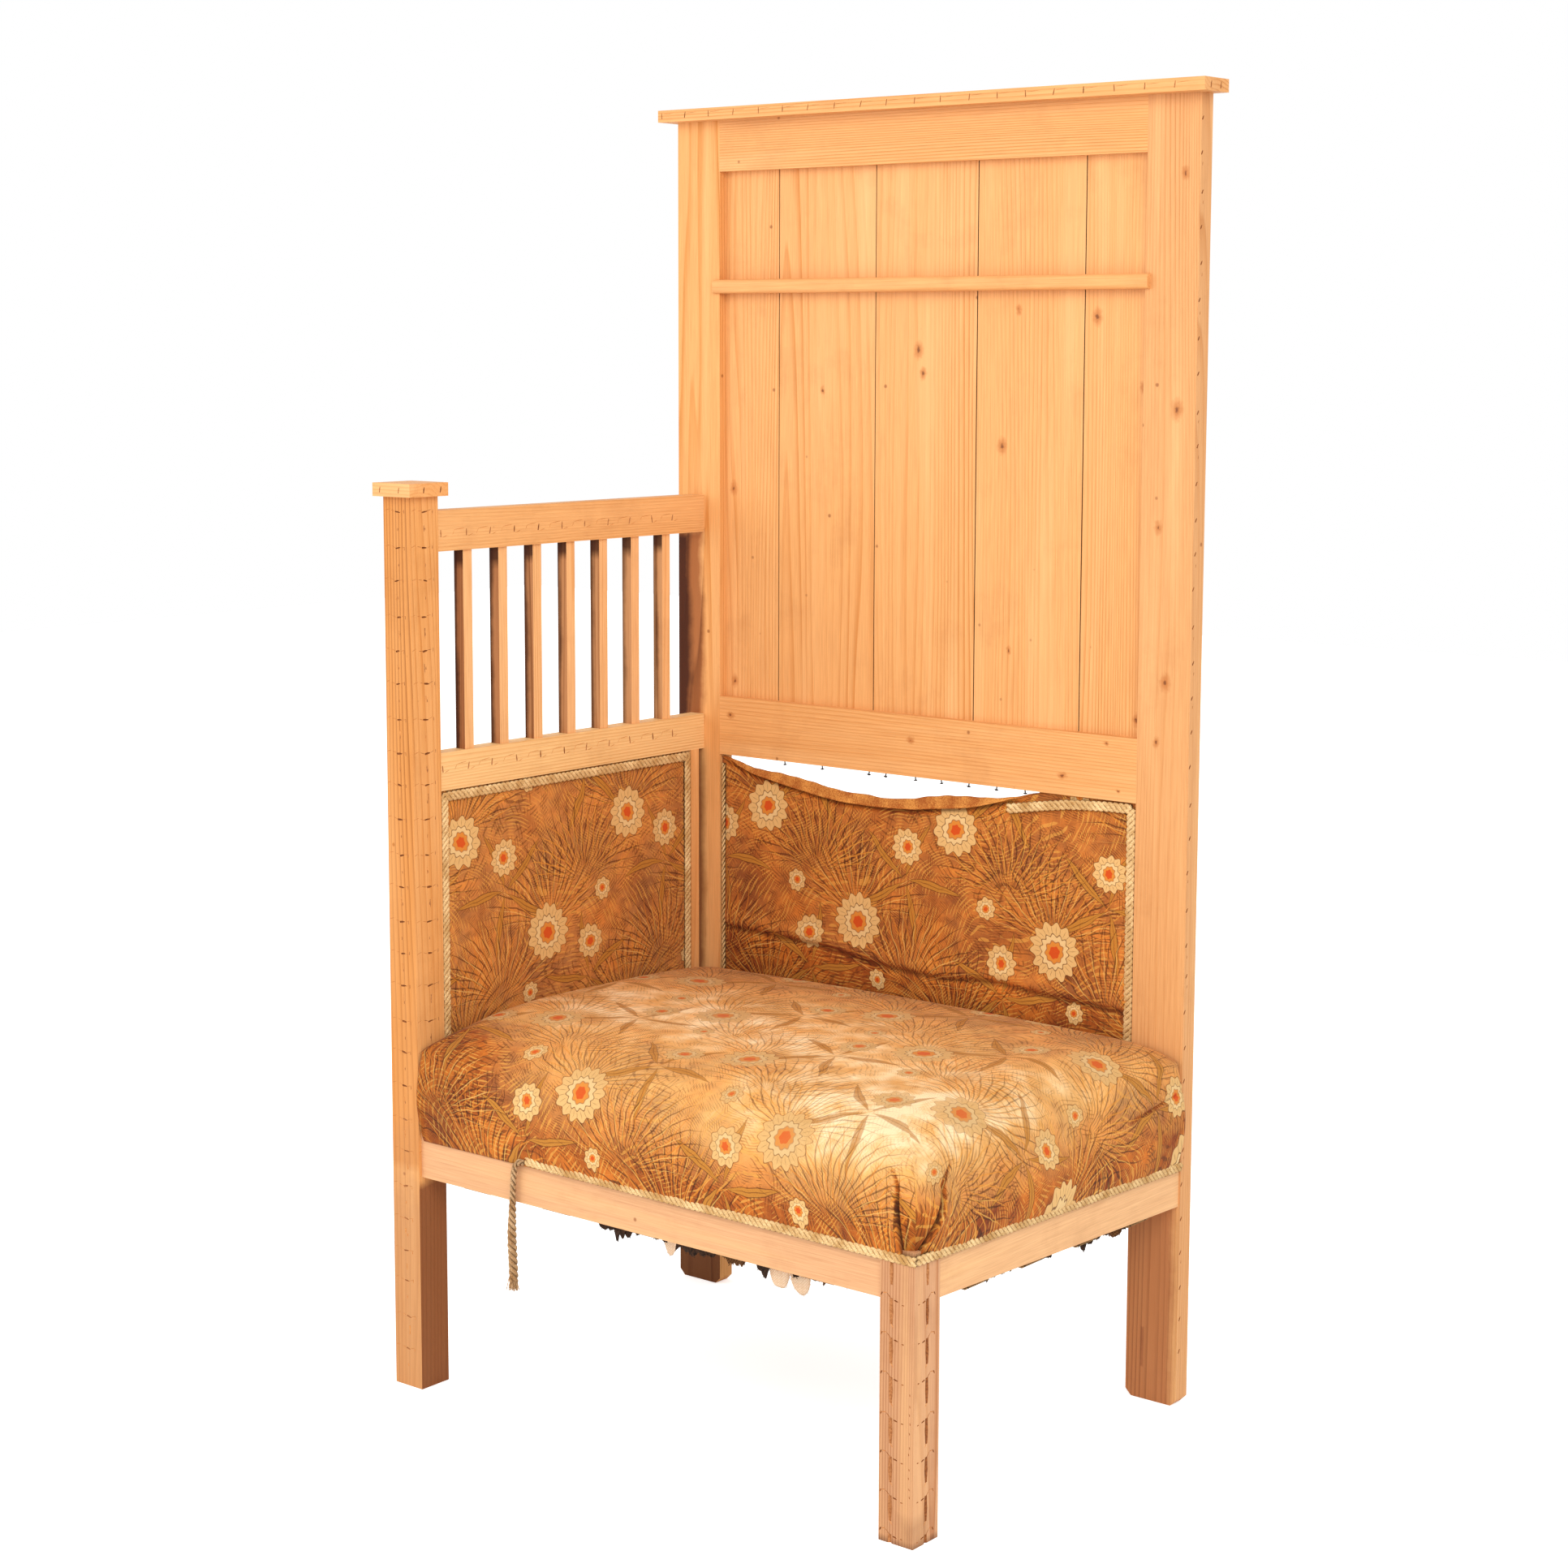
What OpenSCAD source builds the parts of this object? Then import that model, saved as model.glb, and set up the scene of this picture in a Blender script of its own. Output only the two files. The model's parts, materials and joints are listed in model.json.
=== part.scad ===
// Corner settle: a high panelled back, one spindled arm on the left and a sprung, stuffed seat.
// Built in the maker's own axes: X from the left stile's outer edge, Y from the front face of the
// back frame towards the wall, Z up from the floor. on_centre() then moves every piece so that the
// origin lies on the floor below the middle of the whole settle.

/* [Back frame] */
// Width over the two back stiles
back_w = 888; // [760:1:1100]
// Height of the stiles, under the cornice cap
back_h = 1750; // [1620:1:1950]
// Width of a back stile
stile_w = 80; // [72:1:100]
// Thickness of the stiles and of the rails between them
stile_t = 28; // [26:0.5:36]
// Height of the top rail
top_rail_h = 73; // [60:1:100]
// Underside of the middle rail above the floor
mid_rail_z = 820; // [760:1:900]
// Height of the middle rail
mid_rail_h = 87; // [70:1:110]
// Thickness of the back seat rail
back_seat_rail_t = 22; // [18:0.5:26]
// Worn corner at the bottom of each back stile
foot_wear = 9; // [3:0.5:14]

/* [Boards] */
// Width that a full board covers
board_w = 175; // [150:1:190]
// Thickness of a board
board_t = 14; // [11:0.5:16]
// Open joint between two boards
board_gap = 1.5; // [0.5:0.1:3]
// Depth of the tongue on a board's edge
tongue_d = 6; // [4:0.5:8]
// Thickness of the tongue
tongue_t = 4; // [3:0.1:5]
// Rebate that the boards lie in
rebate_w = 10; // [7:0.5:14]

/* [Cornice and plate rail] */
// Thickness of the cornice cap
cap_t = 17; // [12:0.5:25]
// Overhang of the cap at each end
cap_end = 18; // [14:0.5:40]
// Overhang of the cap in front of the stiles
cap_front = 24; // [10:0.5:40]
// Overhang of the cap behind the stiles
cap_rear = 8; // [2:0.5:20]
// Drop from the back frame's top to the plate rail's underside
plate_rail_drop = 249; // [190:1:650]
// Height of the plate rail
plate_rail_h = 20; // [14:0.5:30]
// How far the plate rail stands in front of the stiles
plate_rail_out = 8; // [5:0.5:14]
// How far the plate rail laps over each stile
plate_rail_lap = 8; // [4:0.5:16]

/* [Posts and legs] */
// Front face of the post and the leg to the front face of the back frame
depth = 600; // [540:1:700]
// Section of the arm post and the front leg
post_s = 51; // [46:0.5:60]
// Height of the arm post, under its cap
post_h = 1226; // [1215:1:1300]
// Overhang of the post cap
post_cap_over = 10; // [4:0.5:16]
// Thickness of the post cap
post_cap_t = 18; // [12:0.5:24]

/* [Seat frame] */
// Underside of the seat rails above the floor, at the front
seat_rail_z = 300; // [260:1:330]
// Height of the seat rails
seat_rail_h = 64; // [56:1:80]
// Thickness of the front and side seat rails
seat_rail_t = 28; // [24:0.5:32]
// How far the seat drops from the front to the back
seat_rake = 20; // [0:0.5:30]
// How far the front seat rail lies behind the post's face
front_set_back = 5; // [2:0.5:8]
// How far the right seat rail lies inside the leg's face
side_set_back = 2; // [1:0.5:5]
// Leg of a corner block
block_leg = 46; // [30:1:60]
// Height of a corner block
block_h = 38; // [24:1:50]

/* [Arm] */
// Thickness of the arm's rails
arm_t = 25; // [22:0.5:28]
// How far the arm's inner face lies outside the post's inner face
arm_set_back = 2; // [1:0.5:6]
// Underside of the arm's top rail above the floor
arm_top_z = 1151; // [1080:1:1156]
// Height of the arm's top rail
arm_top_h = 55; // [44:1:58]
// Underside of the arm's middle rail above the floor
arm_mid_z = 826; // [760:1:860]
// Height of the arm's middle rail
arm_mid_h = 52; // [40:1:64]
// Number of spindles
spindle_count = 7; // [7:1:7]
// Spindle width across the arm
spindle_x = 17; // [14:0.5:22]
// Spindle width along the arm
spindle_y = 17; // [12:0.5:22]
// Post's rear face to the middle of the first spindle
spindle_first = 60; // [40:1:70]
// Distance from one spindle to the next
spindle_pitch = 68; // [50:0.5:72]
// Width of the arm's short rear stile
arm_stile_w = 18; // [15:0.5:34]
// Slot between the rear stile and the back frame
arm_slot = 12; // [6:0.5:20]

/* [Joints] */
// Thickness of every tenon
tenon_t = 10; // [8:0.5:12]
// Length of the tenons into the posts and the leg
tenon_l = 25; // [18:0.5:28]
// Length of the back frame's tenons into the stiles
back_tenon_l = 34; // [24:0.5:36]
// Length of the stub tenons into the front of the stiles
stub_l = 14; // [10:0.5:18]
// Shoulder above and below a tenon
shoulder = 12; // [8:0.5:14]
// Shoulder above and below the tenon of a spindle or short stile
small_shoulder = 4; // [2:0.5:5]
// Length of a spindle's or short stile's tenon
small_tenon_l = 14; // [8:0.5:20]

/* [Seat upholstery] */
// Height that the cloth laps over the seat rails
cloth_lap = 12; // [8:0.5:20]
// Thickness of the printed cloth
cloth_t = 2.5; // [1.5:0.1:4]
// Height of the seat's upright sides above the cloth's lower edge
seat_side_h = 95; // [80:1:120]
// Height of the rounded edge above the upright sides
seat_roll_h = 45; // [35:1:60]
// Depth of the rounded edge at the front and the right
seat_roll_open = 55; // [30:1:80]
// Depth of the rounded edge against the arm and the back
seat_roll_closed = 22; // [12:1:40]
// Rise of the seat's crown above its rounded edge
seat_crown = 14; // [6:0.5:30]
// How far the sides swell out halfway up
seat_swell = 8; // [0:0.5:10]
// Width of the webbing
web_w = 50; // [38:1:60]
// Thickness of the webbing and the hessian
web_t = 2; // [1:0.1:3]
// Number of springs along the seat
spring_cols = 3; // [2:1:4]
// Number of springs from front to back
spring_rows = 3; // [2:1:4]
// Height of a spring
spring_h = 112; // [90:1:125]
// Outer radius of a spring's end turns
spring_r = 42; // [30:1:50]
// Inner turn's radius at the waist
spring_waist = 26; // [20:1:36]
// Wire of a spring
spring_wire = 4; // [3:0.1:5]
// Turns of a spring
spring_turns = 4; // [3:1:6]

/* [Back and arm upholstery] */
// Thickness of the back's stuffing
back_pad_t = 10; // [6:0.5:12]
// How far the back's cloth lies behind the front of the stiles
back_inset = 6; // [6:0.5:8]
// How far the loose top edge of the back's cloth has sagged
back_sag = 46; // [10:1:80]
// Share of the back's width that the loose edge spans
back_loose = 0.74; // [0.4:0.01:0.9]
// Swell of the back's and the arm's cloth
panel_swell = 5; // [0:0.5:8]
// Thickness of the arm's stuffing
arm_pad_t = 9; // [5:0.5:10]
// Width of the braid
braid_w = 13; // [8:0.5:18]
// Thickness of the braid
braid_t = 4; // [2:0.1:5]
// Left end of the braid that is still on the front rail, from the post
braid_start = 201; // [120:1:260]
// Diameter of the loose braid's end
loose_d = 9; // [6:0.5:12]

/* [Hidden] */

pine = "#E8B878";
print_cloth = "#B9742F";
braid_thread = "#D9BF94";
jute = "#A98B62";
horsehair = "#5A4332";
steel = "#8A8D91";

// The whole settle's width and depth, for the origin
whole_w = back_w + 2 * cap_end;
front_most = -depth - post_cap_over;
rear_most = stile_t + cap_rear;
centre_x = back_w / 2;
centre_y = (front_most + rear_most) / 2;

// Openings of the back frame
open_x0 = stile_w;
open_x1 = back_w - stile_w;
top_rail_z = back_h - top_rail_h;
mid_rail_top = mid_rail_z + mid_rail_h;

// Boards lie against the rebates' shoulders, flush with the back of the frame
board_y0 = stile_t - board_t;
board_z0 = mid_rail_top - rebate_w;
board_z1 = top_rail_z + rebate_w;
board_count = 5;
nail_r = 2.6;
nail_head = 1;
nail_l = 9;

// Seat frame levels; every level falls by the rake from the front to the back frame
rake_angle = atan2(seat_rake, depth);
function drop(y) = seat_rake * (y + depth) / depth;
front_y0 = -depth + front_set_back;
side_x1 = back_w - side_set_back;
side_x0 = side_x1 - seat_rail_t;
leg_x0 = back_w - post_s;
post_rear = -depth + post_s;
arm_x1 = post_s - arm_set_back;
arm_x0 = arm_x1 - arm_t;
seat_left_x0 = arm_x1 - seat_rail_t;
plate_rail_z = back_h - plate_rail_drop;
rail_top = seat_rail_z + seat_rail_h;
cloth_z = rail_top - cloth_lap;

// Arm's rear stile
arm_stile_y1 = -arm_slot;
arm_stile_y0 = arm_stile_y1 - arm_stile_w;

// Running clearance beside cloth, and the least wall left behind a mortise
ease = 0.3;

// Seat cushion's outline at its lower edge
seat_x0 = post_s + ease;
seat_x1 = side_x1 + cloth_t;
seat_y0 = front_y0 - cloth_t;
seat_y1 = -2 * ease;
seat_top = cloth_z + seat_side_h + seat_roll_h;

module on_centre() {
    translate([-centre_x, -centre_y, 0]) children();
}

// A box from one corner to the opposite one
module block(from, to) {
    translate(from) cube(to - from);
}

// A bar with an outline in Y and Z, from x0 to x1
module side_outline(x0, x1, points) {
    translate([x0, 0, 0]) rotate([90, 0, 90]) linear_extrude(x1 - x0) polygon(points);
}

// A bar with an outline in X and Z, from y0 to y1
module front_outline(y0, y1, points) {
    translate([0, y1, 0]) rotate([90, 0, 0]) linear_extrude(y1 - y0) polygon(points);
}

// The seat's own frame, tilted by the rake about the front lower edge of the rails
module raked() {
    translate([0, -depth, seat_rail_z]) rotate([-rake_angle, 0, 0]) children();
}

// Tenons of the back frame's rails, at both ends
module back_tenons(z0, z1) {
    mid = stile_t / 2;
    for (x = [open_x0 - back_tenon_l, open_x1])
        block([x, mid - tenon_t / 2, z0 + shoulder], [x + back_tenon_l, mid + tenon_t / 2, z1 - shoulder]);
}

module top_tenons() {
    back_tenons(board_z1, back_h);
}

module mid_tenons() {
    back_tenons(mid_rail_z, board_z0);
}

module back_seat_tenons() {
    back_tenons(seat_rail_z - seat_rake, rail_top - seat_rake);
}

// Tenons of a raked side rail: one into the post or leg, one into the stile
module side_tenons(x_mid) {
    low = seat_rail_z + shoulder;
    high = rail_top - shoulder;
    for (run = [[post_rear - tenon_l, post_rear], [0, stub_l]])
        side_outline(x_mid - tenon_t / 2, x_mid + tenon_t / 2, [
            [run[0], low - drop(run[0])], [run[1], low - drop(run[1])],
            [run[1], high - drop(run[1])], [run[0], high - drop(run[0])]
        ]);
}

module left_side_tenons() {
    side_tenons((seat_left_x0 + arm_x1) / 2);
}

module right_side_tenons() {
    side_tenons((side_x0 + side_x1) / 2);
}

module front_tenons() {
    mid = front_y0 + seat_rail_t / 2 - front_tenon_shift;
    for (x = [post_s - tenon_l, leg_x0])
        block([x, mid - tenon_t / 2, seat_rail_z + shoulder], [x + tenon_l, mid + tenon_t / 2, rail_top - shoulder]);
}
// The front rail's tenon lies forward of its middle, clear of the side rails' tenons
front_tenon_shift = 5;

// Tenons of the arm's rails into the post and the back stile
module arm_tenons(z0, h) {
    mid = (arm_x0 + arm_x1) / 2;
    for (run = [[post_rear - tenon_l, post_rear], [0, stub_l]])
        block([mid - tenon_t / 2, run[0], z0 + shoulder], [mid + tenon_t / 2, run[1], z0 + h - shoulder]);
}

module back_stile(x0) {
    wear = foot_wear;
    difference() {
        front_outline(0, stile_t, [
            [x0 + wear, 0], [x0 + stile_w - wear, 0], [x0 + stile_w, wear],
            [x0 + stile_w, back_h], [x0, back_h], [x0, wear]
        ]);
        block([open_x0 - rebate_w, board_y0, board_z0], [open_x1 + rebate_w, stile_t + 1, board_z1]);
        top_tenons();
        mid_tenons();
        back_seat_tenons();
        left_side_tenons();
        right_side_tenons();
        arm_tenons(arm_top_z, arm_top_h);
        arm_tenons(arm_mid_z, arm_mid_h);
    }
}

module back_stile_left() {
    color(pine) on_centre() back_stile(0);
}

module back_stile_right() {
    color(pine) on_centre() back_stile(open_x1);
}

module back_top_rail() {
    color(pine) on_centre() {
        difference() {
            block([open_x0, 0, top_rail_z], [open_x1, stile_t, back_h]);
            block([open_x0 - 1, board_y0, top_rail_z - 1], [open_x1 + 1, stile_t + 1, board_z1]);
            board_nail_rows();
        }
        top_tenons();
    }
}

module back_mid_rail() {
    color(pine) on_centre() {
        difference() {
            block([open_x0, 0, mid_rail_z], [open_x1, stile_t, mid_rail_top]);
            block([open_x0 - 1, board_y0, board_z0], [open_x1 + 1, stile_t + 1, mid_rail_top + 1]);
            board_nail_rows();
            old_tacks();
        }
        mid_tenons();
    }
}

module back_seat_rail() {
    y0 = (stile_t - back_seat_rail_t) / 2;
    color(pine) on_centre() {
        block([open_x0, y0, seat_rail_z - seat_rake], [open_x1, y0 + back_seat_rail_t, rail_top - seat_rake]);
        back_seat_tenons();
    }
}

// Seams between the boards stand about the middle of the back
function seam(i) = centre_x + (i - board_count / 2) * board_w;

module back_board(i) {
    first = i == 1;
    last = i == board_count;
    x0 = first ? open_x0 - rebate_w : seam(i - 1) + board_gap / 2;
    x1 = last ? open_x1 + rebate_w : seam(i) - board_gap / 2;
    tongue_y = board_y0 + (board_t - tongue_t) / 2;
    color(pine) on_centre() difference() {
        union() {
            block([x0, board_y0, board_z0], [x1, stile_t, board_z1]);
            if (!last)
                block([x1, tongue_y, board_z0], [x1 + tongue_d, tongue_y + tongue_t, board_z1]);
        }
        if (!first)
            block([x0 - 1, tongue_y - ease / 2, board_z0 - 1],
                [x0 + tongue_d - board_gap + ease, tongue_y + tongue_t + ease / 2, board_z1 + 1]);
        board_nail_rows();
        plate_rail_screws();
    }
}

// Two nails through each board into the rebates of the top and middle rails
module board_nail_rows() {
    for (i = [1:board_count], side = [-1, 1], z = [board_z0 + rebate_w / 2, board_z1 - rebate_w / 2])
        translate([board_middle(i) + side * board_span(i) / 4, stile_t, z]) rotate([90, 0, 0]) {
            cylinder(h = board_t + nail_l, r = nail_r / 2, $fn = 16);
            cylinder(h = nail_head, r = nail_r, $fn = 16);
        }
}
function board_x0(i) = max(open_x0, seam(i - 1));
function board_x1(i) = min(open_x1, seam(i));
function board_middle(i) = (board_x0(i) + board_x1(i)) / 2;
function board_span(i) = board_x1(i) - board_x0(i);

// Screws through the boards into the back of the plate rail
module plate_rail_screws() {
    z = plate_rail_z + plate_rail_h / 2;
    for (i = [1:board_count])
        translate([board_middle(i), stile_t, z]) rotate([90, 0, 0]) {
            cylinder(h = board_t + nail_l, r = nail_r / 2, $fn = 16);
            cylinder(h = nail_head, r = nail_r * 1.4, $fn = 16);
        }
}

module board_nails() {
    color(steel) on_centre() {
        board_nail_rows();
        plate_rail_screws();
    }
}

module plate_rail() {
    color(pine) on_centre() difference() {
        union() {
            block([open_x0 + ease, -1, plate_rail_z], [open_x1 - ease, board_y0, plate_rail_z + plate_rail_h]);
            block([open_x0 - plate_rail_lap, -plate_rail_out, plate_rail_z],
                [open_x1 + plate_rail_lap, 0, plate_rail_z + plate_rail_h]);
        }
        plate_rail_nosing();
        plate_rail_screws();
    }
}

// Rounds the plate rail's front edge with a quarter circle above and below
module plate_rail_nosing() {
    r = plate_rail_out * 0.75;
    for (edge = [[plate_rail_z, plate_rail_z + r], [plate_rail_z + plate_rail_h, plate_rail_z + plate_rail_h - r]])
        difference() {
            block([-back_w, -plate_rail_out - 1, min(edge)], [2 * back_w, -plate_rail_out + r, max(edge)]);
            translate([-back_w, -plate_rail_out + r, edge[1]]) rotate([0, 90, 0])
                cylinder(h = 3 * back_w, r = r, $fn = 48);
        }
}

module cornice_cap() {
    color(pine) on_centre()
        block([-cap_end, -cap_front, back_h], [back_w + cap_end, stile_t + cap_rear, back_h + cap_t]);
}

module arm_post() {
    color(pine) on_centre() difference() {
        block([0, -depth, 0], [post_s, post_rear, post_h]);
        front_tenons();
        left_side_tenons();
        arm_tenons(arm_top_z, arm_top_h);
        arm_tenons(arm_mid_z, arm_mid_h);
    }
}

module arm_post_cap() {
    over = post_cap_over;
    color(pine) on_centre()
        block([-over, -depth - over, post_h], [post_s + over, post_rear + over, post_h + post_cap_t]);
}

function spindle_mid(i) = post_rear + spindle_first + (i - 1) * spindle_pitch;

// Tenons of one spindle, above and below
module spindle_tenons(i) {
    x = (arm_x0 + arm_x1) / 2;
    hx = spindle_x / 2 - small_shoulder;
    hy = spindle_y / 2 - small_shoulder;
    y = spindle_mid(i);
    block([x - hx, y - hy, arm_mid_z + arm_mid_h - small_tenon_l], [x + hx, y + hy, arm_top_z + small_tenon_l]);
}

module arm_spindle(i) {
    x = (arm_x0 + arm_x1) / 2;
    y = spindle_mid(i);
    color(pine) on_centre() {
        block([x - spindle_x / 2, y - spindle_y / 2, arm_mid_z + arm_mid_h],
            [x + spindle_x / 2, y + spindle_y / 2, arm_top_z]);
        spindle_tenons(i);
    }
}

module arm_rail(z0, h) {
    block([arm_x0, post_rear, z0], [arm_x1, 0, z0 + h]);
    arm_tenons(z0, h);
}

// Tenons of the arm's short rear stile into the middle rail and the raked seat rail
module arm_stile_tenons() {
    x = (arm_x0 + arm_x1) / 2;
    y = (arm_stile_y0 + arm_stile_y1) / 2;
    hx = tenon_t / 2;
    hy = arm_stile_w / 2 - small_shoulder;
    block([x - hx, y - hy, rail_top - drop(arm_stile_y1) - small_tenon_l], [x + hx, y + hy, arm_mid_z + small_tenon_l]);
}

module arm_top_rail() {
    color(pine) on_centre() difference() {
        arm_rail(arm_top_z, arm_top_h);
        for (i = [1:spindle_count]) spindle_tenons(i);
    }
}

module arm_mid_rail() {
    color(pine) on_centre() difference() {
        arm_rail(arm_mid_z, arm_mid_h);
        for (i = [1:spindle_count]) spindle_tenons(i);
        arm_stile_tenons();
    }
}

module arm_rear_stile() {
    color(pine) on_centre() {
        side_outline(arm_x0, arm_x1, [
            [arm_stile_y0, rail_top - drop(arm_stile_y0)], [arm_stile_y1, rail_top - drop(arm_stile_y1)],
            [arm_stile_y1, arm_mid_z], [arm_stile_y0, arm_mid_z]
        ]);
        arm_stile_tenons();
    }
}

// The leg's head is cut back on its two outer faces, to take the cloth
module front_leg() {
    head_y = front_y0 + ease;
    head_x = side_x1 - ease;
    color(pine) on_centre() difference() {
        block([leg_x0, -depth, 0], [back_w, post_rear, rail_top]);
        block([leg_x0 - 1, -depth - 1, cloth_z - ease], [back_w + 1, head_y, rail_top + 1]);
        block([head_x, -depth - 1, cloth_z - ease], [back_w + 1, post_rear + 1, rail_top + 1]);
        front_tenons();
        right_side_tenons();
    }
}

module seat_front_rail() {
    color(pine) on_centre() {
        block([post_s, front_y0, seat_rail_z], [leg_x0, front_y0 + seat_rail_t, rail_top]);
        front_tenons();
    }
}

module seat_side_bar(x0) {
    side_outline(x0, x0 + seat_rail_t, [
        [post_rear, seat_rail_z - drop(post_rear)], [0, seat_rail_z - drop(0)],
        [0, rail_top - drop(0)], [post_rear, rail_top - drop(post_rear)]
    ]);
}

module seat_side_rail_left() {
    color(pine) on_centre() difference() {
        union() {
            seat_side_bar(seat_left_x0);
            left_side_tenons();
        }
        arm_stile_tenons();
    }
}

module seat_side_rail_right() {
    color(pine) on_centre() {
        seat_side_bar(side_x0);
        right_side_tenons();
    }
}

// Corner blocks in the seat frame; the front ones are notched round the post and the leg
module corner_block(outline, y) {
    translate([0, 0, cloth_z - drop(y) - block_h]) linear_extrude(block_h) polygon(outline);
}

module corner_blocks() {
    front_in = front_y0 + seat_rail_t;
    leg = block_leg;
    color(pine) on_centre() {
        corner_block([[post_s, front_in], [post_s + leg, front_in], [arm_x1, post_rear + leg],
            [arm_x1, post_rear], [post_s, post_rear]], post_rear + leg);
        corner_block([[leg_x0, front_in], [leg_x0 - leg, front_in], [side_x0, post_rear + leg],
            [side_x0, post_rear], [leg_x0, post_rear]], post_rear + leg);
        corner_block([[side_x0, 0], [side_x0 - leg, 0], [side_x0, -leg]], 0);
        corner_block([[arm_x1, 0], [arm_x1 + leg, 0], [arm_x1, -leg]], 0);
    }
}

// Webbing below the rails: strips from front to back, then strips across under them
web_run = (depth + stile_t / 2) / cos(rake_angle);
web_start = front_set_back + 4;
long_webs = 5;
cross_webs = 4;
web_x0 = seat_left_x0 + 3;
web_x1 = side_x1 - 3;
web_hem = seat_rail_t - 5;
spring_margin = spring_r + 60;
spring_field_x = leg_x0 - post_s - 2 * spring_margin;
spring_field_y = depth - seat_rail_t - 2 * spring_margin;
function share(i, n) = n > 1 ? i / (n - 1) : 0.5;
function long_web_x(i) = post_s + spring_margin + spring_field_x * share(i, long_webs);
function cross_web_y(i) = seat_rail_t + front_set_back + spring_margin + spring_field_y * share(i, cross_webs);
function spring_x(i) = post_s + spring_margin + spring_field_x * share(i, spring_cols);
function spring_y(i) = seat_rail_t + front_set_back + spring_margin + spring_field_y * share(i, spring_rows);

module seat_webbing_long() {
    color(jute) on_centre() raked()
        for (i = [0:long_webs - 1])
            translate([long_web_x(i) - web_w / 2, web_start, -web_t]) cube([web_w, web_run - web_start, web_t]);
}

// The strips across are folded double at both ends, where they are tacked to the side rails
module seat_webbing_cross() {
    color(jute) on_centre() raked()
        for (i = [0:cross_webs - 1]) translate([0, cross_web_y(i) - web_w / 2, 0]) {
            block([web_x0, 0, -2 * web_t], [web_x1, web_w, -web_t]);
            block([web_x0, 0, -2 * web_t], [web_x0 + web_hem, web_w, 0]);
            block([web_x1 - web_hem, 0, -2 * web_t], [web_x1, web_w, 0]);
        }
}

// A spring: one wire on a helix that narrows at the waist
spring_sides = 5;
spring_rings = 8;
function spring_path_r(s) = spring_waist + (spring_r - spring_wire - spring_waist) * pow(abs(2 * s - 1), 1.4);
function spring_point(s, turns) = let (a = 360 * turns * s, r = spring_path_r(s))
    [r * cos(a), r * sin(a), spring_wire / 2 + s * (spring_h - spring_wire)];
function unit(v) = v / norm(v);

// A tube of the given radius round a list of points, as one polyhedron
module tube_along(points, r, sides) {
    n = len(points);
    ring = [for (i = [0:n - 1]) let (
            dir = unit(points[min(i + 1, n - 1)] - points[max(i - 1, 0)]),
            flat = unit(cross(dir, abs(dir[2]) < 0.9 ? [0, 0, 1] : [0, 1, 0])),
            up = cross(flat, dir)
        ) [for (k = [0:sides - 1]) points[i] + r * (cos(360 * k / sides) * flat + sin(360 * k / sides) * up)]];
    skin = [for (i = [0:n - 2], k = [0:sides - 1]) let (a = i * sides + k, b = i * sides + (k + 1) % sides)
        each [[a, b, a + sides], [b, b + sides, a + sides]]];
    start_cap = [for (k = [1:sides - 2]) [0, k + 1, k]];
    last = (n - 1) * sides;
    end_cap = [for (k = [1:sides - 2]) [last, last + k, last + k + 1]];
    polyhedron([for (one = ring) each one], concat(skin, start_cap, end_cap));
}

module seat_springs() {
    steps = spring_turns * spring_rings;
    path = [for (i = [0:steps]) spring_point(i / steps, spring_turns)];
    color(steel) on_centre() raked()
        for (i = [0:spring_cols - 1], j = [0:spring_rows - 1])
            translate([spring_x(i), spring_y(j), ease]) tube_along(path, spring_wire / 2, spring_sides);
}

hessian_low = spring_h + 2 * ease;
hessian_high = hessian_low + web_t;

module seat_hessian() {
    margin = cloth_t + seat_roll_closed / 2;
    color(jute) on_centre() raked()
        translate([seat_x0 + margin, front_set_back + margin, hessian_low])
            cube([seat_x1 - seat_x0 - 2 * margin, depth - front_set_back - 2 * margin, web_t]);
}

// One level of the seat's form, as [outward swell, share of the rounded edge, height, share of rake, corner]
wall_steps = 4;
roll_steps = 5;
crown_steps = 4;
corner_steps = 4;
side_steps = 6;

// A closed ring of points: a rectangle with rounded corners, its sides in even steps
function rounded_ring(x0, y0, x1, y1, r) = [
    for (c = [[x1 - r, y0 + r, -90], [x1 - r, y1 - r, 0], [x0 + r, y1 - r, 90], [x0 + r, y0 + r, 180]])
        each [
            for (k = [0:corner_steps]) let (a = c[2] + 90 * k / corner_steps) [c[0] + r * cos(a), c[1] + r * sin(a)],
            for (k = [1:side_steps - 1]) let (
                a = c[2] + 90,
                from = [c[0] + r * cos(a), c[1] + r * sin(a)],
                to = c[2] == -90 ? [x1, y1 - r] : c[2] == 0 ? [x0 + r, y1] : c[2] == 90 ? [x0, y0 + r] : [x1 - r, y0]
            ) from + (to - from) * k / side_steps
        ]
];

// Rings of the form, drawn in by "inset" all round; the lowest one lies just above the raked rails
wall_foot = rail_top + ease;
wall_top = cloth_z + seat_side_h;
edge_turn = 34;
function wall_ring(s, inset) = let (
    swell = seat_swell * sin(180 * min(1, s * 0.9)),
    r = edge_turn * s * s + ease + (s > 0 ? 0 : 2 * ease)
) [for (p = rounded_ring(seat_x0 + inset, seat_y0 + inset - swell, seat_x1 - inset + swell * 0.4, seat_y1 - inset, r))
    [p[0], p[1], wall_foot + (wall_top - wall_foot) * s - drop(p[1]) * (1 - 0.6 * s)]];

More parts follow.
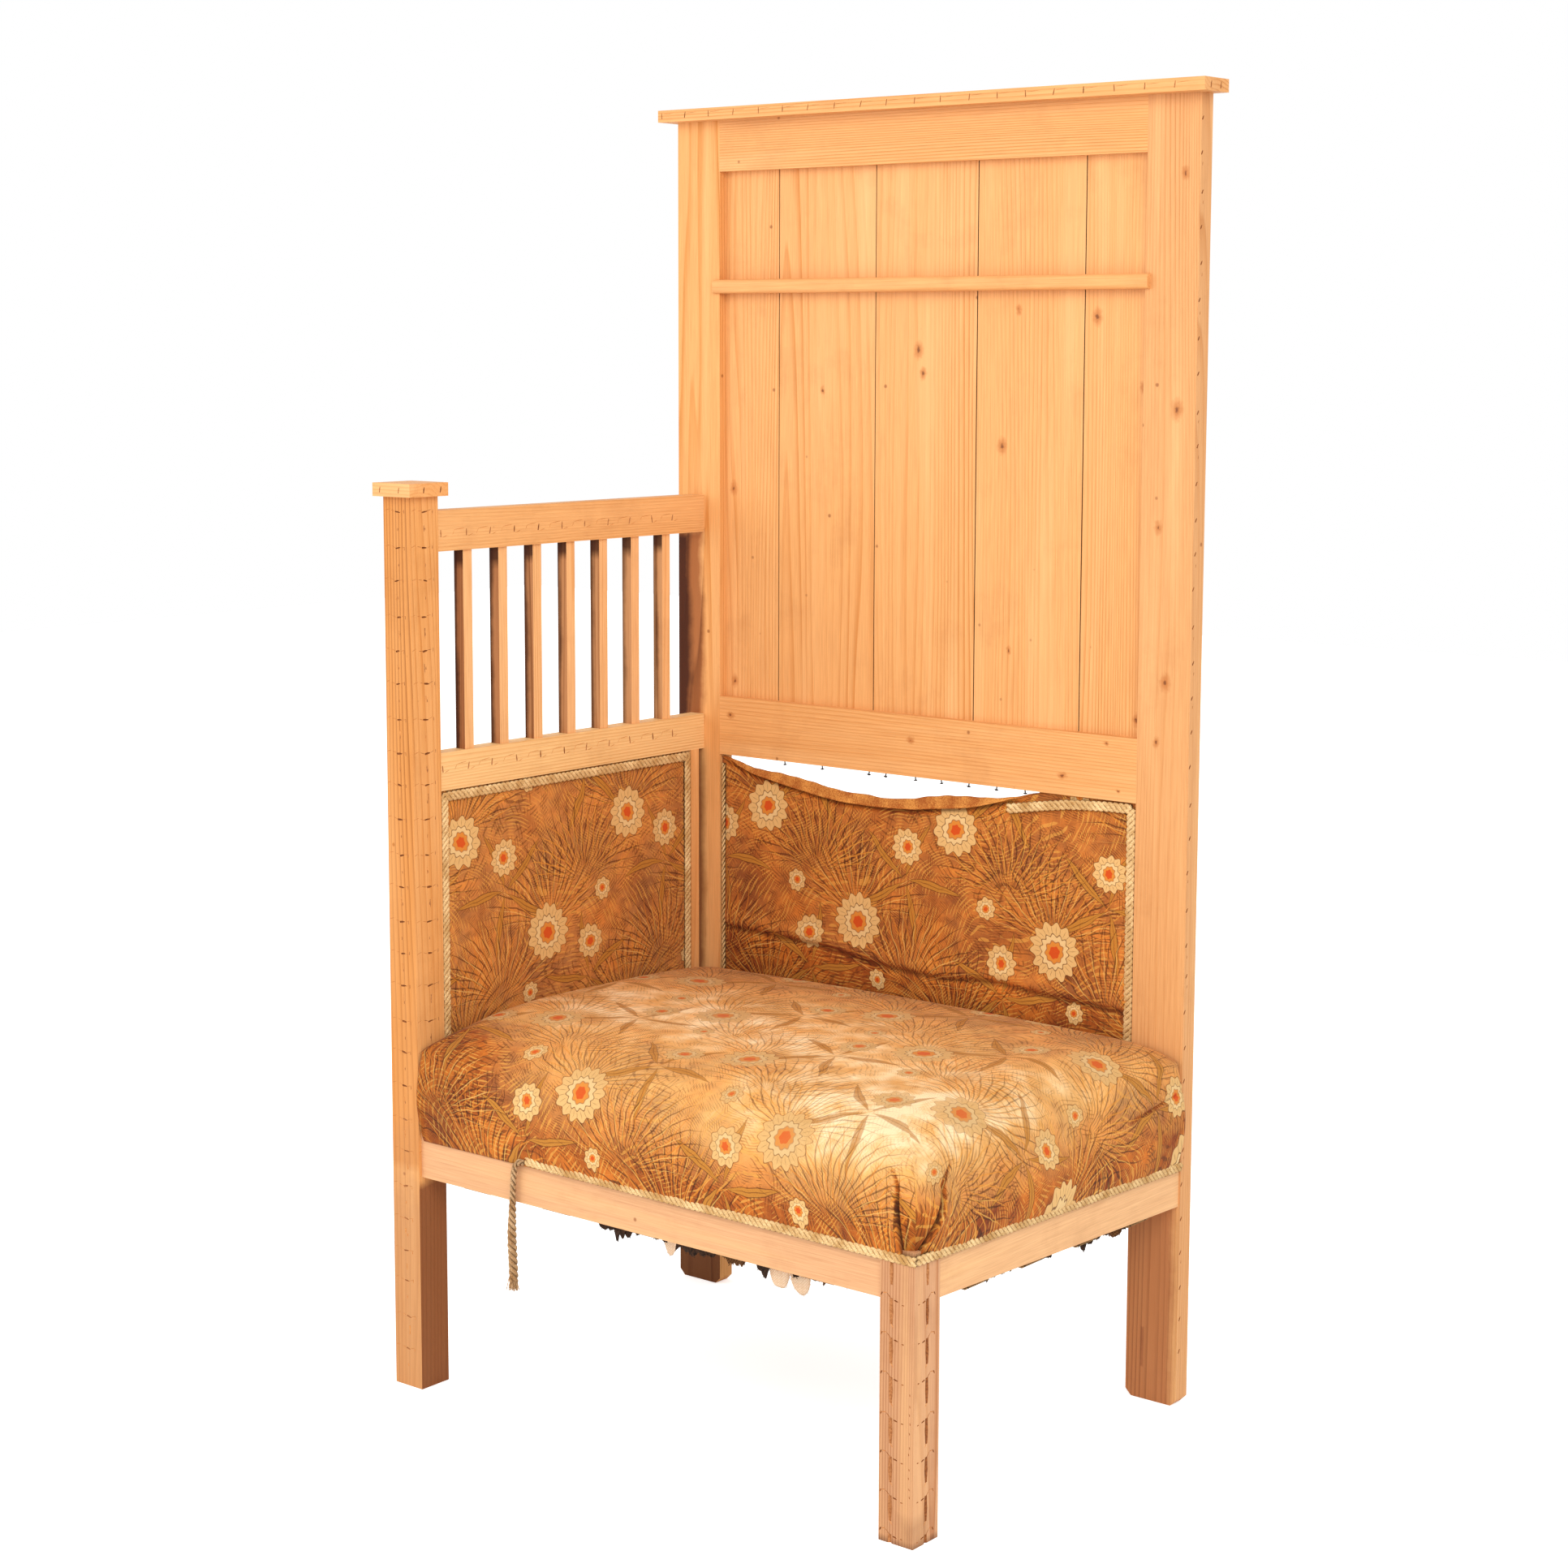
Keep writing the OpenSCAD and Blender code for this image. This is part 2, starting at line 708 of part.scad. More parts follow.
function roll_ring(s, inset) = let (
    a = 90 * s,
    open = seat_roll_open * (1 - cos(a)) + inset,
    closed = seat_roll_closed * (1 - cos(a)) + inset,
    swell = seat_swell * sin(162) * (1 - s),
    r = edge_turn + ease + (seat_roll_open - 20) * s
) [for (p = rounded_ring(seat_x0 + closed, seat_y0 + open - swell, seat_x1 - open + swell * 0.4, seat_y1 - closed, r))
    [p[0], p[1], wall_top + (seat_roll_h - inset) * sin(a) - drop(p[1]) * 0.4 * (1 - s)]];

function crown_ring(s, inset) = let (
    hx = (seat_x1 - seat_x0 - seat_roll_open - seat_roll_closed) / 2 - inset,
    hy = (seat_y1 - seat_y0 - seat_roll_open - seat_roll_closed) / 2 - inset,
    mx = (seat_x0 + seat_roll_closed + seat_x1 - seat_roll_open) / 2,
    my = (seat_y0 + seat_roll_open + seat_y1 - seat_roll_closed) / 2
) [for (p = rounded_ring(mx - hx * s, my - hy * s, mx + hx * s, my + hy * s, (14 + ease + seat_roll_open) * s))
    [p[0], p[1], seat_top - inset + seat_crown * (1 - s * s)]];

// All rings from the foot of the form to its crown; "from" leaves out the lowest levels of the wall
function seat_rings(inset, from) = concat(
    [for (k = [from:wall_steps]) wall_ring(k / wall_steps, inset)],
    [for (k = [1:roll_steps]) roll_ring(k / roll_steps, inset)],
    [for (k = [1:crown_steps - 1]) crown_ring(1 - k / crown_steps, inset)]
);
function seat_peak(inset) = [(seat_x0 + seat_roll_closed + seat_x1 - seat_roll_open) / 2,
    (seat_y0 + seat_roll_open + seat_y1 - seat_roll_closed) / 2, seat_top - inset + seat_crown];

ring_points = 4 * (corner_steps + side_steps);

// Faces between the rings and up to the peak, seen from outside; "flip" turns them inwards
function ring_faces(rings, start, flip) = [
    for (j = [0:rings - 2], k = [0:ring_points - 1]) let (
            a = start + j * ring_points + k,
            b = start + j * ring_points + (k + 1) % ring_points
        ) each flip ? [[a, b, a + ring_points], [b, b + ring_points, a + ring_points]]
            : [[a, a + ring_points, b], [b, a + ring_points, b + ring_points]]
];
function peak_faces(rings, start, peak, flip) = [for (k = [0:ring_points - 1]) let (
        a = start + (rings - 1) * ring_points + k,
        b = start + (rings - 1) * ring_points + (k + 1) % ring_points
    ) flip ? [a, b, peak] : [a, peak, b]];

// The cloth laps down over the outer faces of the front and the right rail
module seat_cover_laps() {
    block([seat_x0, seat_y0, cloth_z], [seat_x1, front_y0, wall_foot]);
    side_outline(side_x1, seat_x1, [
        [front_y0, cloth_z - drop(front_y0)], [seat_y1, cloth_z - drop(seat_y1)],
        [seat_y1, wall_foot - drop(seat_y1)], [front_y0, wall_foot - drop(front_y0)]
    ]);
}

module seat_cover() {
    outer = seat_rings(0, 0);
    inner = seat_rings(cloth_t, 0);
    n = len(outer);
    count = n * ring_points;
    points = concat([for (r = outer) each r], [for (r = inner) each r], [seat_peak(0), seat_peak(cloth_t)]);
    rim = [for (k = [0:ring_points - 1]) let (b = (k + 1) % ring_points)
        each [[k, b, count + k], [b, count + b, count + k]]];
    faces = concat(ring_faces(n, 0, false), peak_faces(n, 0, 2 * count, false),
        ring_faces(n, count, true), peak_faces(n, count, 2 * count + 1, true), rim);
    color(print_cloth) on_centre() {
        polyhedron(points, faces);
        seat_cover_laps();
    }
}

// The stuffing fills the cover from the hessian upwards
module seat_stuffing() {
    from = 3;
    rings = seat_rings(cloth_t + ease, from);
    n = len(rings);
    base_z = seat_rail_z + (hessian_high + ease) / cos(rake_angle);
    base = [for (p = rings[0]) [p[0], p[1], base_z - drop(p[1])]];
    body = concat([base], [for (j = [1:n - 1]) rings[j]]);
    count = n * ring_points;
    points = concat([for (r = body) each r],
        [seat_peak(cloth_t + ease), [centre_x, -depth / 2, base_z - drop(-depth / 2)]]);
    floor_faces = [for (k = [0:ring_points - 1]) [k, (k + 1) % ring_points, count + 1]];
    color(horsehair) on_centre()
        polyhedron(points, concat(ring_faces(n, 0, false), peak_faces(n, 0, count, false), floor_faces));
}

// The back's cloth, stuffing and hessian share one outline: straight sides, and a top edge
// that has come off the rail and sags between the left stile and the place where it still holds
back_foot = rail_top - seat_rake + ease;
loose_end_x = open_x0 + (open_x1 - open_x0) * back_loose;
sag_steps = 12;
function sag_z(x) = x >= loose_end_x ? mid_rail_z
    : mid_rail_z - back_sag * pow(sin(180 * pow((x - open_x0) / (loose_end_x - open_x0), 0.86)), 0.8);
function back_outline(side, low) = concat(
    [[open_x0 + side, back_foot], [open_x1 - side, back_foot], [open_x1 - side, mid_rail_z - low]],
    [for (k = [0:sag_steps]) let (x = loose_end_x - (loose_end_x - open_x0 - side) * k / sag_steps)
        [x, sag_z(max(x, open_x0)) - low]]
);

back_cloth_y = back_inset;
back_stuff_y = back_cloth_y + cloth_t;
back_hess_y = back_stuff_y + back_pad_t;
back_web_y = back_hess_y + web_t;

// A cloth panel as one skin: rows of front points, then the same rows of back points
module panel_skin(front, back) {
    nv = len(front);
    nu = len(front[0]);
    count = nv * nu;
    quads = [for (j = [0:nv - 2], i = [0:nu - 2]) let (a = j * nu + i) [a, a + nu, a + nu + 1, a + 1]];
    face = [for (q = quads) each [[q[0], q[1], q[2]], [q[0], q[2], q[3]]]];
    rear = [for (f = face) [f[2] + count, f[1] + count, f[0] + count]];
    rim = concat([for (i = [0:nu - 1]) i], [for (j = [1:nv - 1]) j * nu + nu - 1],
        [for (i = [nu - 2:-1:0]) (nv - 1) * nu + i], [for (j = [nv - 2:-1:1]) j * nu]);
    edge = [for (k = [0:len(rim) - 1]) let (a = rim[k], b = rim[(k + 1) % len(rim)])
        each [[a, b, b + count], [a, b + count, a + count]]];
    polyhedron([for (row = concat(front, back)) each row], concat(face, rear, edge));
}

// Grid positions along a panel's side: a flat border as wide as the braid at both ends
panel_steps = 14;
function panel_at(k, n, span) = k == 0 ? 0 : k == n ? span
    : braid_w + (span - 2 * braid_w) * (k - 1) / (n - 2);
function swell_at(k, n) = k == 0 || k == n ? 0 : pow(sin(180 * (k - 1) / (n - 2)), 0.6);

// The back's cloth swells a little, with slack folds that run down from its loose top edge
function back_swell(i, j) = let (u = (i - 1) / (panel_steps - 2), v = (j - 1) / (panel_steps - 2))
    panel_swell * swell_at(i, panel_steps) * (swell_at(j, panel_steps) * 0.85
        + (j > 1 && j < panel_steps ? 0.15 * v * sin(720 * u + 140 * v) : 0));

module back_cover() {
    n = panel_steps;
    span = open_x1 - open_x0;
    grid = [for (j = [0:n]) [for (i = [0:n]) let (
            x = open_x0 + panel_at(i, n, span),
            z = back_foot + panel_at(j, n, sag_z(x) - back_foot)
        ) [x, back_cloth_y - back_swell(i, j), z]]];
    color(print_cloth) on_centre()
        panel_skin(grid, [for (row = grid) [for (p = row) [p[0], back_stuff_y, p[2]]]]);
}

module back_stuffing() {
    color(horsehair) on_centre() front_outline(back_stuff_y, back_hess_y, back_outline(0, web_t));
}

module back_hessian() {
    color(jute) on_centre() front_outline(back_hess_y, back_web_y, back_outline(0, 0));
}

// Webbing behind the back's hessian: two strips across and three upright
module back_webbing() {
    z_low = back_foot + 90;
    z_high = mid_rail_z - back_sag - 90;
    z_end = z_high + web_w;
    color(jute) on_centre() {
        for (z = [z_low, z_high])
            block([open_x0, back_web_y, z - web_w / 2], [open_x1, back_web_y + web_t, z + web_w / 2]);
        for (k = [1:3])
            translate([open_x0 + (open_x1 - open_x0) * k / 4 - web_w / 2, back_web_y + web_t, back_foot])
                cube([web_w, web_t, z_end - back_foot]);
    }
}

// Old tacks left in the middle rail's underside, where the cloth came away
module old_tacks() {
    count = 9;
    step = (loose_end_x - open_x0) / (count + 1);
    for (k = [1:count]) translate([open_x0 + step * (k + 0.3 * sin(140 * k)), back_cloth_y, mid_rail_z]) {
        translate([0, 0, -nail_head]) cylinder(h = nail_head, r = 3, $fn = 16);
        cylinder(h = nail_l, r = 0.9, $fn = 16);
    }
}

module back_tacks() {
    color(steel) on_centre() old_tacks();
}

// The arm's panel lies between the post, the middle rail, the rear stile and the left seat rail
module arm_layer(x0, x1, side) {
    side_outline(x0, x1, [
        [post_rear + side, rail_top - drop(post_rear) + ease + side],
        [arm_stile_y0 - side, rail_top - drop(arm_stile_y0) + ease + side],
        [arm_stile_y0 - side, arm_mid_z - side], [post_rear + side, arm_mid_z - side]
    ]);
}

arm_cloth_x = arm_x1 - 3;
arm_stuff_x = arm_cloth_x - cloth_t;
arm_hess_x = arm_stuff_x - arm_pad_t;
arm_web_x = arm_hess_x - web_t;
arm_swell = 3;

module arm_cover() {
    n = panel_steps;
    span = arm_stile_y0 - post_rear;
    grid = [for (j = [0:n]) [for (i = [0:n]) let (
            y = post_rear + panel_at(i, n, span),
            foot = rail_top - drop(y) + ease,
            z = foot + panel_at(j, n, arm_mid_z - foot)
        ) [arm_cloth_x + arm_swell * swell_at(i, n) * swell_at(j, n), y, z]]];
    color(print_cloth) on_centre()
        panel_skin(grid, [for (row = grid) [for (p = row) [arm_stuff_x, p[1], p[2]]]]);
}

module arm_stuffing() {
    color(horsehair) on_centre() arm_layer(arm_hess_x, arm_stuff_x, 0);
}

module arm_hessian() {
    color(jute) on_centre() arm_layer(arm_web_x, arm_hess_x, 0);
}

module arm_webbing() {
    span = arm_stile_y0 - post_rear;
    color(jute) on_centre()
        for (k = [1:3]) let (y0 = post_rear + span * k / 4 - web_w / 2, y1 = y0 + web_w)
            side_outline(arm_web_x - web_t, arm_web_x, [
                [y0, rail_top + ease - drop(y0)], [y1, rail_top + ease - drop(y1)], [y1, arm_mid_z], [y0, arm_mid_z]
            ]);
}

// Plain cloth that closes the arm's outer side
module arm_outside_cloth() {
    color(jute) on_centre() arm_layer(arm_x0, arm_x0 + cloth_t, 0);
}

// The upright braids of the back and the arm run down behind the seat's rounded edge
braid_foot = wall_top - 25;

// Braid along the seat's lower edge, over the cloth
module braid_seat_front() {
    x0 = post_s + braid_start;
    color(braid_thread) on_centre()
        block([x0, seat_y0 - braid_t, cloth_z], [seat_x1 + braid_t, seat_y0, cloth_z + braid_w]);
}

module braid_seat_side() {
    color(braid_thread) on_centre()
        side_outline(seat_x1, seat_x1 + braid_t, [
            [seat_y0, cloth_z - drop(seat_y0)], [seat_y1, cloth_z - drop(seat_y1)],
            [seat_y1, cloth_z + braid_w - drop(seat_y1)], [seat_y0, cloth_z + braid_w - drop(seat_y0)]
        ]);
}

module braid_back_left() {
    color(braid_thread) on_centre()
        block([open_x0, back_cloth_y - braid_t, braid_foot], [open_x0 + braid_w - ease, back_cloth_y, mid_rail_z - braid_w]);
}

// The braid up the right side turns the corner and ends where the cloth is loose
module braid_back_right() {
    color(braid_thread) on_centre() {
        block([open_x1 - braid_w + ease, back_cloth_y - braid_t, braid_foot], [open_x1, back_cloth_y, mid_rail_z]);
        block([loose_end_x, back_cloth_y - braid_t, mid_rail_z - braid_w + ease],
            [open_x1 - braid_w + ease, back_cloth_y, mid_rail_z]);
    }
}

// Braid up both sides of the arm's panel and along its top
module braid_arm() {
    y0 = post_rear;
    y1 = arm_stile_y0;
    x1 = arm_cloth_x + braid_t;
    color(braid_thread) on_centre() {
        block([arm_cloth_x, y0, braid_foot], [x1, y0 + braid_w - ease, arm_mid_z]);
        block([arm_cloth_x, y1 - braid_w + ease, braid_foot], [x1, y1, arm_mid_z]);
        block([arm_cloth_x, y0 + braid_w - ease, arm_mid_z - braid_w + ease], [x1, y1 - braid_w + ease, arm_mid_z]);
    }
}

// The loose end of the seat's braid: out of the braid's cut end, then straight down under its own weight.
// Points are from the middle of that cut end.
loose_route = [
    [0, 0, 0], [-5, 0, 0], [-10, 0, -1], [-14, 0, -4], [-17, 0, -8], [-19, 0, -14], [-20, 0, -22],
    [-21, 0, -34], [-22, 0, -50], [-23, 0, -70], [-24, 0, -92], [-24, 0, -114], [-23, 0, -134],
    [-22, 0, -152], [-22, 0, -166]
];

module braid_loose_end() {
    color(braid_thread) on_centre()
        translate([post_s + braid_start, seat_y0 - loose_d / 2 + ease, cloth_z + braid_w / 2])
            tube_along(loose_route, loose_d / 2, 8);
}

// What is left of the lining under the seat: rags tacked below the webbing at the front and the right
// Each rag: where it starts and ends, as shares of its rail's run, and its hang as a share of the rail's height
front_rags = [[0.344, 0.496, 0.25], [0.547, 0.662, 0.375], [0.712, 0.878, 0.5625]];
side_rags = [[0.8, 0.5, 0.3125], [0.4, 0.1, 0.28]];
rags_run = back_w - 2 * post_s;
rag_steps = 8;
function rag_edge(k) = pow(sin(180 * k / rag_steps), 0.7) * (0.8 + 0.2 * cos(300 * k));

module rag_front(from, to, hang) {
    y = front_y0 + seat_rail_t - 2 * web_t;
    x0 = post_s + from;
    low = seat_rail_z - drop(y + web_t) - web_t - ease;
    front_outline(y, y + web_t, concat([[post_s + to, low], [x0, low]],
        [for (k = [1:rag_steps - 1]) [x0 + (to - from) * k / rag_steps, low - hang * rag_edge(k)]]));
}

module rag_side(from, to, hang) {
    low = seat_rail_z - 2 * web_t - ease;
    side_outline(side_x0 + web_t, side_x0 + 2 * web_t, concat([[to, low - drop(to)], [from, low - drop(from)]],
        [for (k = [1:rag_steps - 1]) let (y = from + (to - from) * k / rag_steps)
            [y, low - drop(y) - hang * rag_edge(k)]]));
}

module torn_lining() {
    color(jute) on_centre() {
        for (rag = front_rags) rag_front(rag[0] * rags_run, rag[1] * rags_run, rag[2] * seat_rail_h);
        for (rag = side_rags) rag_side(-rag[0] * depth, -rag[1] * depth, rag[2] * seat_rail_h);
    }
}

back_stile_left();
back_stile_right();
back_top_rail();
back_mid_rail();
back_seat_rail();
back_board(1);  // back_board_1
back_board(2);  // back_board_2
back_board(3);  // back_board_3
back_board(4);  // back_board_4
back_board(5);  // back_board_5
board_nails();
plate_rail();
cornice_cap();
arm_post();
arm_post_cap();
arm_top_rail();
arm_mid_rail();
arm_spindle(1);  // arm_spindle_1
arm_spindle(2);  // arm_spindle_2
arm_spindle(3);  // arm_spindle_3
arm_spindle(4);  // arm_spindle_4
arm_spindle(5);  // arm_spindle_5
arm_spindle(6);  // arm_spindle_6
arm_spindle(7);  // arm_spindle_7
arm_rear_stile();
front_leg();
seat_front_rail();
seat_side_rail_left();
seat_side_rail_right();
corner_blocks();
seat_webbing_long();
seat_webbing_cross();
seat_springs();
seat_hessian();
seat_stuffing();
seat_cover();
back_webbing();
back_hessian();
back_stuffing();
back_cover();
back_tacks();
arm_webbing();
arm_hessian();
arm_stuffing();
arm_cover();
arm_outside_cloth();
braid_seat_front();
braid_seat_side();
braid_back_left();
braid_back_right();
braid_arm();
braid_loose_end();
torn_lining();
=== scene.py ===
"""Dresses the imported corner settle: stripped pine, chip-carved edges, printed upholstery, braid and rags."""
import json
import logging
import math
from dataclasses import dataclass, field
from enum import Enum
from typing import Iterable, Sequence

import bpy
import numpy as np
from mathutils import Matrix, Vector

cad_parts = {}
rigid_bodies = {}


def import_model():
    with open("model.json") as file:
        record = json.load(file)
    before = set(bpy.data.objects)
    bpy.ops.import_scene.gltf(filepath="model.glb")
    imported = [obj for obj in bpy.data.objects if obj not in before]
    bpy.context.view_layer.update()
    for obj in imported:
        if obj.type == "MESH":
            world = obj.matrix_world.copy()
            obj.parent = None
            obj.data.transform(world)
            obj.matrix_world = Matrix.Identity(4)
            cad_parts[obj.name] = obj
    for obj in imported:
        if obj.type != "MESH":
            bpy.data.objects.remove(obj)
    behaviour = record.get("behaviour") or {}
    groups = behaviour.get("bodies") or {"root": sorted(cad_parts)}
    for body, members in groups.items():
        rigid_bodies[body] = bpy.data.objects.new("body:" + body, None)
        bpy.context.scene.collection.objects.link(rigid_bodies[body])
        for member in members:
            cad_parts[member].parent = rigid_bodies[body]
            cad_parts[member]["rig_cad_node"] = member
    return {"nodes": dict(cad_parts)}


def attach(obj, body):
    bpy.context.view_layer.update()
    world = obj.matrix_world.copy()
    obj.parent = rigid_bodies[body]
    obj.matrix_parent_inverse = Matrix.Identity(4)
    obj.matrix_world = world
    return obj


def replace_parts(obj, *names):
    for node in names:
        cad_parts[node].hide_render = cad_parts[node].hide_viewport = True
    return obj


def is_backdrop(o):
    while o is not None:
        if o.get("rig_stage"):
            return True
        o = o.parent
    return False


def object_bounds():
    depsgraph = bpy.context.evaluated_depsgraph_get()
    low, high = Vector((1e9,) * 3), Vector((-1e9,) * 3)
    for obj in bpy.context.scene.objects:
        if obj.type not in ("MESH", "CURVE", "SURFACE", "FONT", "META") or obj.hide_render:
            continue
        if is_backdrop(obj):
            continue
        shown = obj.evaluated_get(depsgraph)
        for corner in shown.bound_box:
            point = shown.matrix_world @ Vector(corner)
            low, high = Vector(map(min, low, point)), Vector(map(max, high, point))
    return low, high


log = logging.getLogger("settle")
Point = tuple[float, float, float]
Mesh = tuple[np.ndarray, list]


class Grain(Enum):
    """The row axis that a piece of pine's grain runs along, in the order x, y, z."""

    ACROSS = "X"
    DEEP = "Y"
    UP = "Z"


# Sizes, in the maker's millimetres


@dataclass(frozen=True)
class Sizes:
    """The settle's sizes, in mm, from the left stile's outer edge, the back frame's front and the floor."""

    middle: tuple[float, float] = (444.0, -287.0)
    depth: float = 600.0
    rake: float = 20.0
    rail_low: float = 300.0
    rail_top: float = 364.0
    mid_rail: float = 820.0
    cloth_low: float = 352.0
    cloth: float = 2.5
    arris: float = 1.3

    def drop(self, y: float) -> float:
        """How far the raked seat has fallen at y, in mm."""
        return self.rake * (y + self.depth) / self.depth


SIZE = Sizes()
FRONT: Point = (0, -1, 0)
RIGHT: Point = (1, 0, 0)


def row(p: Sequence[float]) -> Point:
    """Maker's millimetres to metres in the row frame."""
    return ((p[0] - SIZE.middle[0]) / 1000, (p[1] - SIZE.middle[1]) / 1000, p[2] / 1000)


def linear(code: str) -> tuple[float, float, float, float]:
    """An sRGB hex colour as linear RGBA."""
    parts = [int(code[i:i + 2], 16) / 255 for i in (1, 3, 5)]
    return tuple(c / 12.92 if c <= 0.04045 else ((c + 0.055) / 1.055) ** 2.4 for c in parts) + (1.0,)


def ripple(x: np.ndarray, seed: int, waves: int = 5) -> np.ndarray:
    """A smooth, seeded, irregular wave.

    Args:
        x: where to read it; one unit is about one wave.
        seed: which wave to give.
        waves: how many sines it is made of.

    Returns:
        The wave's height at each x, about -1 to 1.
    """
    rng = np.random.default_rng(seed)
    total = np.zeros_like(np.asarray(x, float))
    for _ in range(waves):
        total += np.sin(2 * np.pi * (x * rng.uniform(0.45, 1.7) + rng.random())) * rng.uniform(0.5, 1)
    return total / (0.55 * waves)


def lumps(x: np.ndarray, y: np.ndarray, size: float, seed: int, waves: int = 9) -> np.ndarray:
    """Seeded soft lumps over a surface.

    Args:
        x: where to read them, one way.
        y: the same, the other way.
        size: about how far a lump reaches, in mm.
        seed: which lumps to give.
        waves: how many sines they are made of.

    Returns:
        Their height at each place, about -1 to 1.
    """
    rng = np.random.default_rng(seed)
    total = np.zeros(np.broadcast(x, y).shape)
    for _ in range(waves):
        turn, reach = rng.uniform(0, np.pi), size * rng.uniform(0.8, 2.2)
        total += np.sin(2 * np.pi * ((x * np.cos(turn) + y * np.sin(turn)) / reach + rng.random()))
    return total / (0.5 * waves)


def bell(x: np.ndarray, wide: float) -> np.ndarray:
    """A smooth hump: 1 at 0, and all but gone at twice its width."""
    return np.exp(-(x / wide) ** 2)


def hump(spot: np.ndarray, at: tuple[float, float], wide: float, deep: float) -> np.ndarray:
    """A bell over x times a bell over y, round one place of the seat."""
    return np.exp(-((spot[..., 0] - at[0]) / wide) ** 2 - ((spot[..., 1] - at[1]) / deep) ** 2)


def unit(v: np.ndarray) -> np.ndarray:
    """Vectors of length one."""
    return v / np.maximum(np.linalg.norm(v, axis=-1, keepdims=True), 1e-9)


def distance(line: np.ndarray) -> np.ndarray:
    """How far along a line each of its points lies."""
    return np.concatenate([[0], np.cumsum(np.linalg.norm(np.diff(line, axis=0), axis=1))])


def resample(path: Sequence[Point], step: float) -> np.ndarray:
    """Spaces points evenly along a broken line.

    Args:
        path: the line's corners, in mm.
        step: about how far apart the points come, in mm.

    Returns:
        The points, with both ends of the line.
    """
    line = np.asarray(path, float)
    along = distance(line)
    at = np.linspace(0, along[-1], max(2, int(round(along[-1] / step)) + 1))
    return np.stack([np.interp(at, along, line[:, k]) for k in range(3)], 1)


# Meshes


def add_mesh(name: str, points: np.ndarray, faces: list, uv: np.ndarray | None = None,
             wear: np.ndarray | None = None, smooth: bool = True) -> bpy.types.Object:
    """Makes a mesh object from points in maker's mm.

    Args:
        name: the piece's name.
        points: one row of x, y, z per vertex, in mm.
        faces: vertex numbers per face.
        uv: one row of u, v per face corner, in metres of cloth.
        wear: one value per vertex: on cloth from 0, fresh, to 1, rubbed, and below 0 painted shade in folds;
            on braid, painted shade in tucks.
        smooth: shade smooth.

    Returns:
        The object, linked to the scene.
    """
    mesh = bpy.data.meshes.new(name)
    mesh.from_pydata([row(p) for p in np.asarray(points).tolist()], [], [list(map(int, f)) for f in faces])
    if uv is not None:
        mesh.uv_layers.new(name="cloth").data.foreach_set("uv", np.asarray(uv, float).ravel())
    if wear is not None:
        worn = mesh.attributes.new("wear", "FLOAT", "POINT")
        worn.data.foreach_set("value", np.asarray(wear, float).ravel())
    if smooth:
        mesh.polygons.foreach_set("use_smooth", [True] * len(mesh.polygons))
    mesh.update()
    made = bpy.data.objects.new(name, mesh)
    bpy.context.scene.collection.objects.link(made)
    return made


def grid_faces(rows: int, cols: int, closed: bool = False) -> list[tuple[int, ...]]:
    """Quads over a grid of points that were listed row by row."""
    return [(j * cols + i, j * cols + (i + 1) % cols, (j + 1) * cols + (i + 1) % cols, (j + 1) * cols + i)
            for j in range(rows - 1) for i in range(cols if closed else cols - 1)]


def thicken(piece: bpy.types.Object, thick: float, side: int = -1) -> bpy.types.Modifier:
    """Gives a sheet its thickness.

    Args:
        piece: the sheet.
        thick: how thick it becomes, in mm.
        side: -1 to grow behind its face, 0 to both sides.

    Returns:
        The modifier that does it.
    """
    solid = piece.modifiers.new("thickness", "SOLIDIFY")
    solid.thickness, solid.offset = thick / 1000, side
    return solid


def add_sheet(name: str, grid: np.ndarray, cloth: np.ndarray, thick: float, wear: np.ndarray | None = None
              ) -> bpy.types.Object:
    """Makes one sheet from a grid of points.

    Args:
        name: the piece's name.
        grid: rows by columns by 3, in maker's mm.
        cloth: rows by columns by 2, where each point lies on the flat cloth, in mm.
        thick: thickness added behind it, in mm.
        wear: rows by columns, up to 1 where rubbed and below 0 where folds take painted shade.

    Returns:
        The sheet.
    """
    faces = grid_faces(*grid.shape[:2])
    flat = cloth.reshape(-1, 2)[np.array(faces).ravel()] / 1000
    made = add_mesh(name, grid.reshape(-1, 3), faces, flat, wear)
    thicken(made, thick)
    return made


def add_pad(name: str, front: np.ndarray, back: np.ndarray, cloth: np.ndarray, wear: np.ndarray | None = None
            ) -> bpy.types.Object:
    """Makes a closed pad from two grids of the same size that face away from each other.

    Args:
        name: the piece's name.
        front: rows by columns by 3, the side that shows, in mm.
        back: the other side.
        cloth: rows by columns by 2, the print's place on the front, in mm.
        wear: rows by columns, from 0 to 1.

    Returns:
        The pad.
    """
    rows, cols = front.shape[:2]
    size = rows * cols
    rim = ([j * cols for j in range(rows)] + [(rows - 1) * cols + i for i in range(1, cols)]
           + [j * cols + cols - 1 for j in range(rows - 2, -1, -1)] + list(range(cols - 2, 0, -1)))
    ahead = rim[1:] + rim[:1]
    faces = grid_faces(rows, cols) + [tuple(i + size for i in f[::-1]) for f in grid_faces(rows, cols)]
    faces += [(a, b, b + size, a + size) for a, b in zip(rim, ahead)]
    flat = np.concatenate([cloth.reshape(-1, 2)] * 2) / 1000
    worn = None if wear is None else np.concatenate([wear.ravel()] * 2)
    return add_mesh(name, np.concatenate([front.reshape(-1, 3), back.reshape(-1, 3)]), faces,
                    flat[np.array([i for f in faces for i in f])], worn)


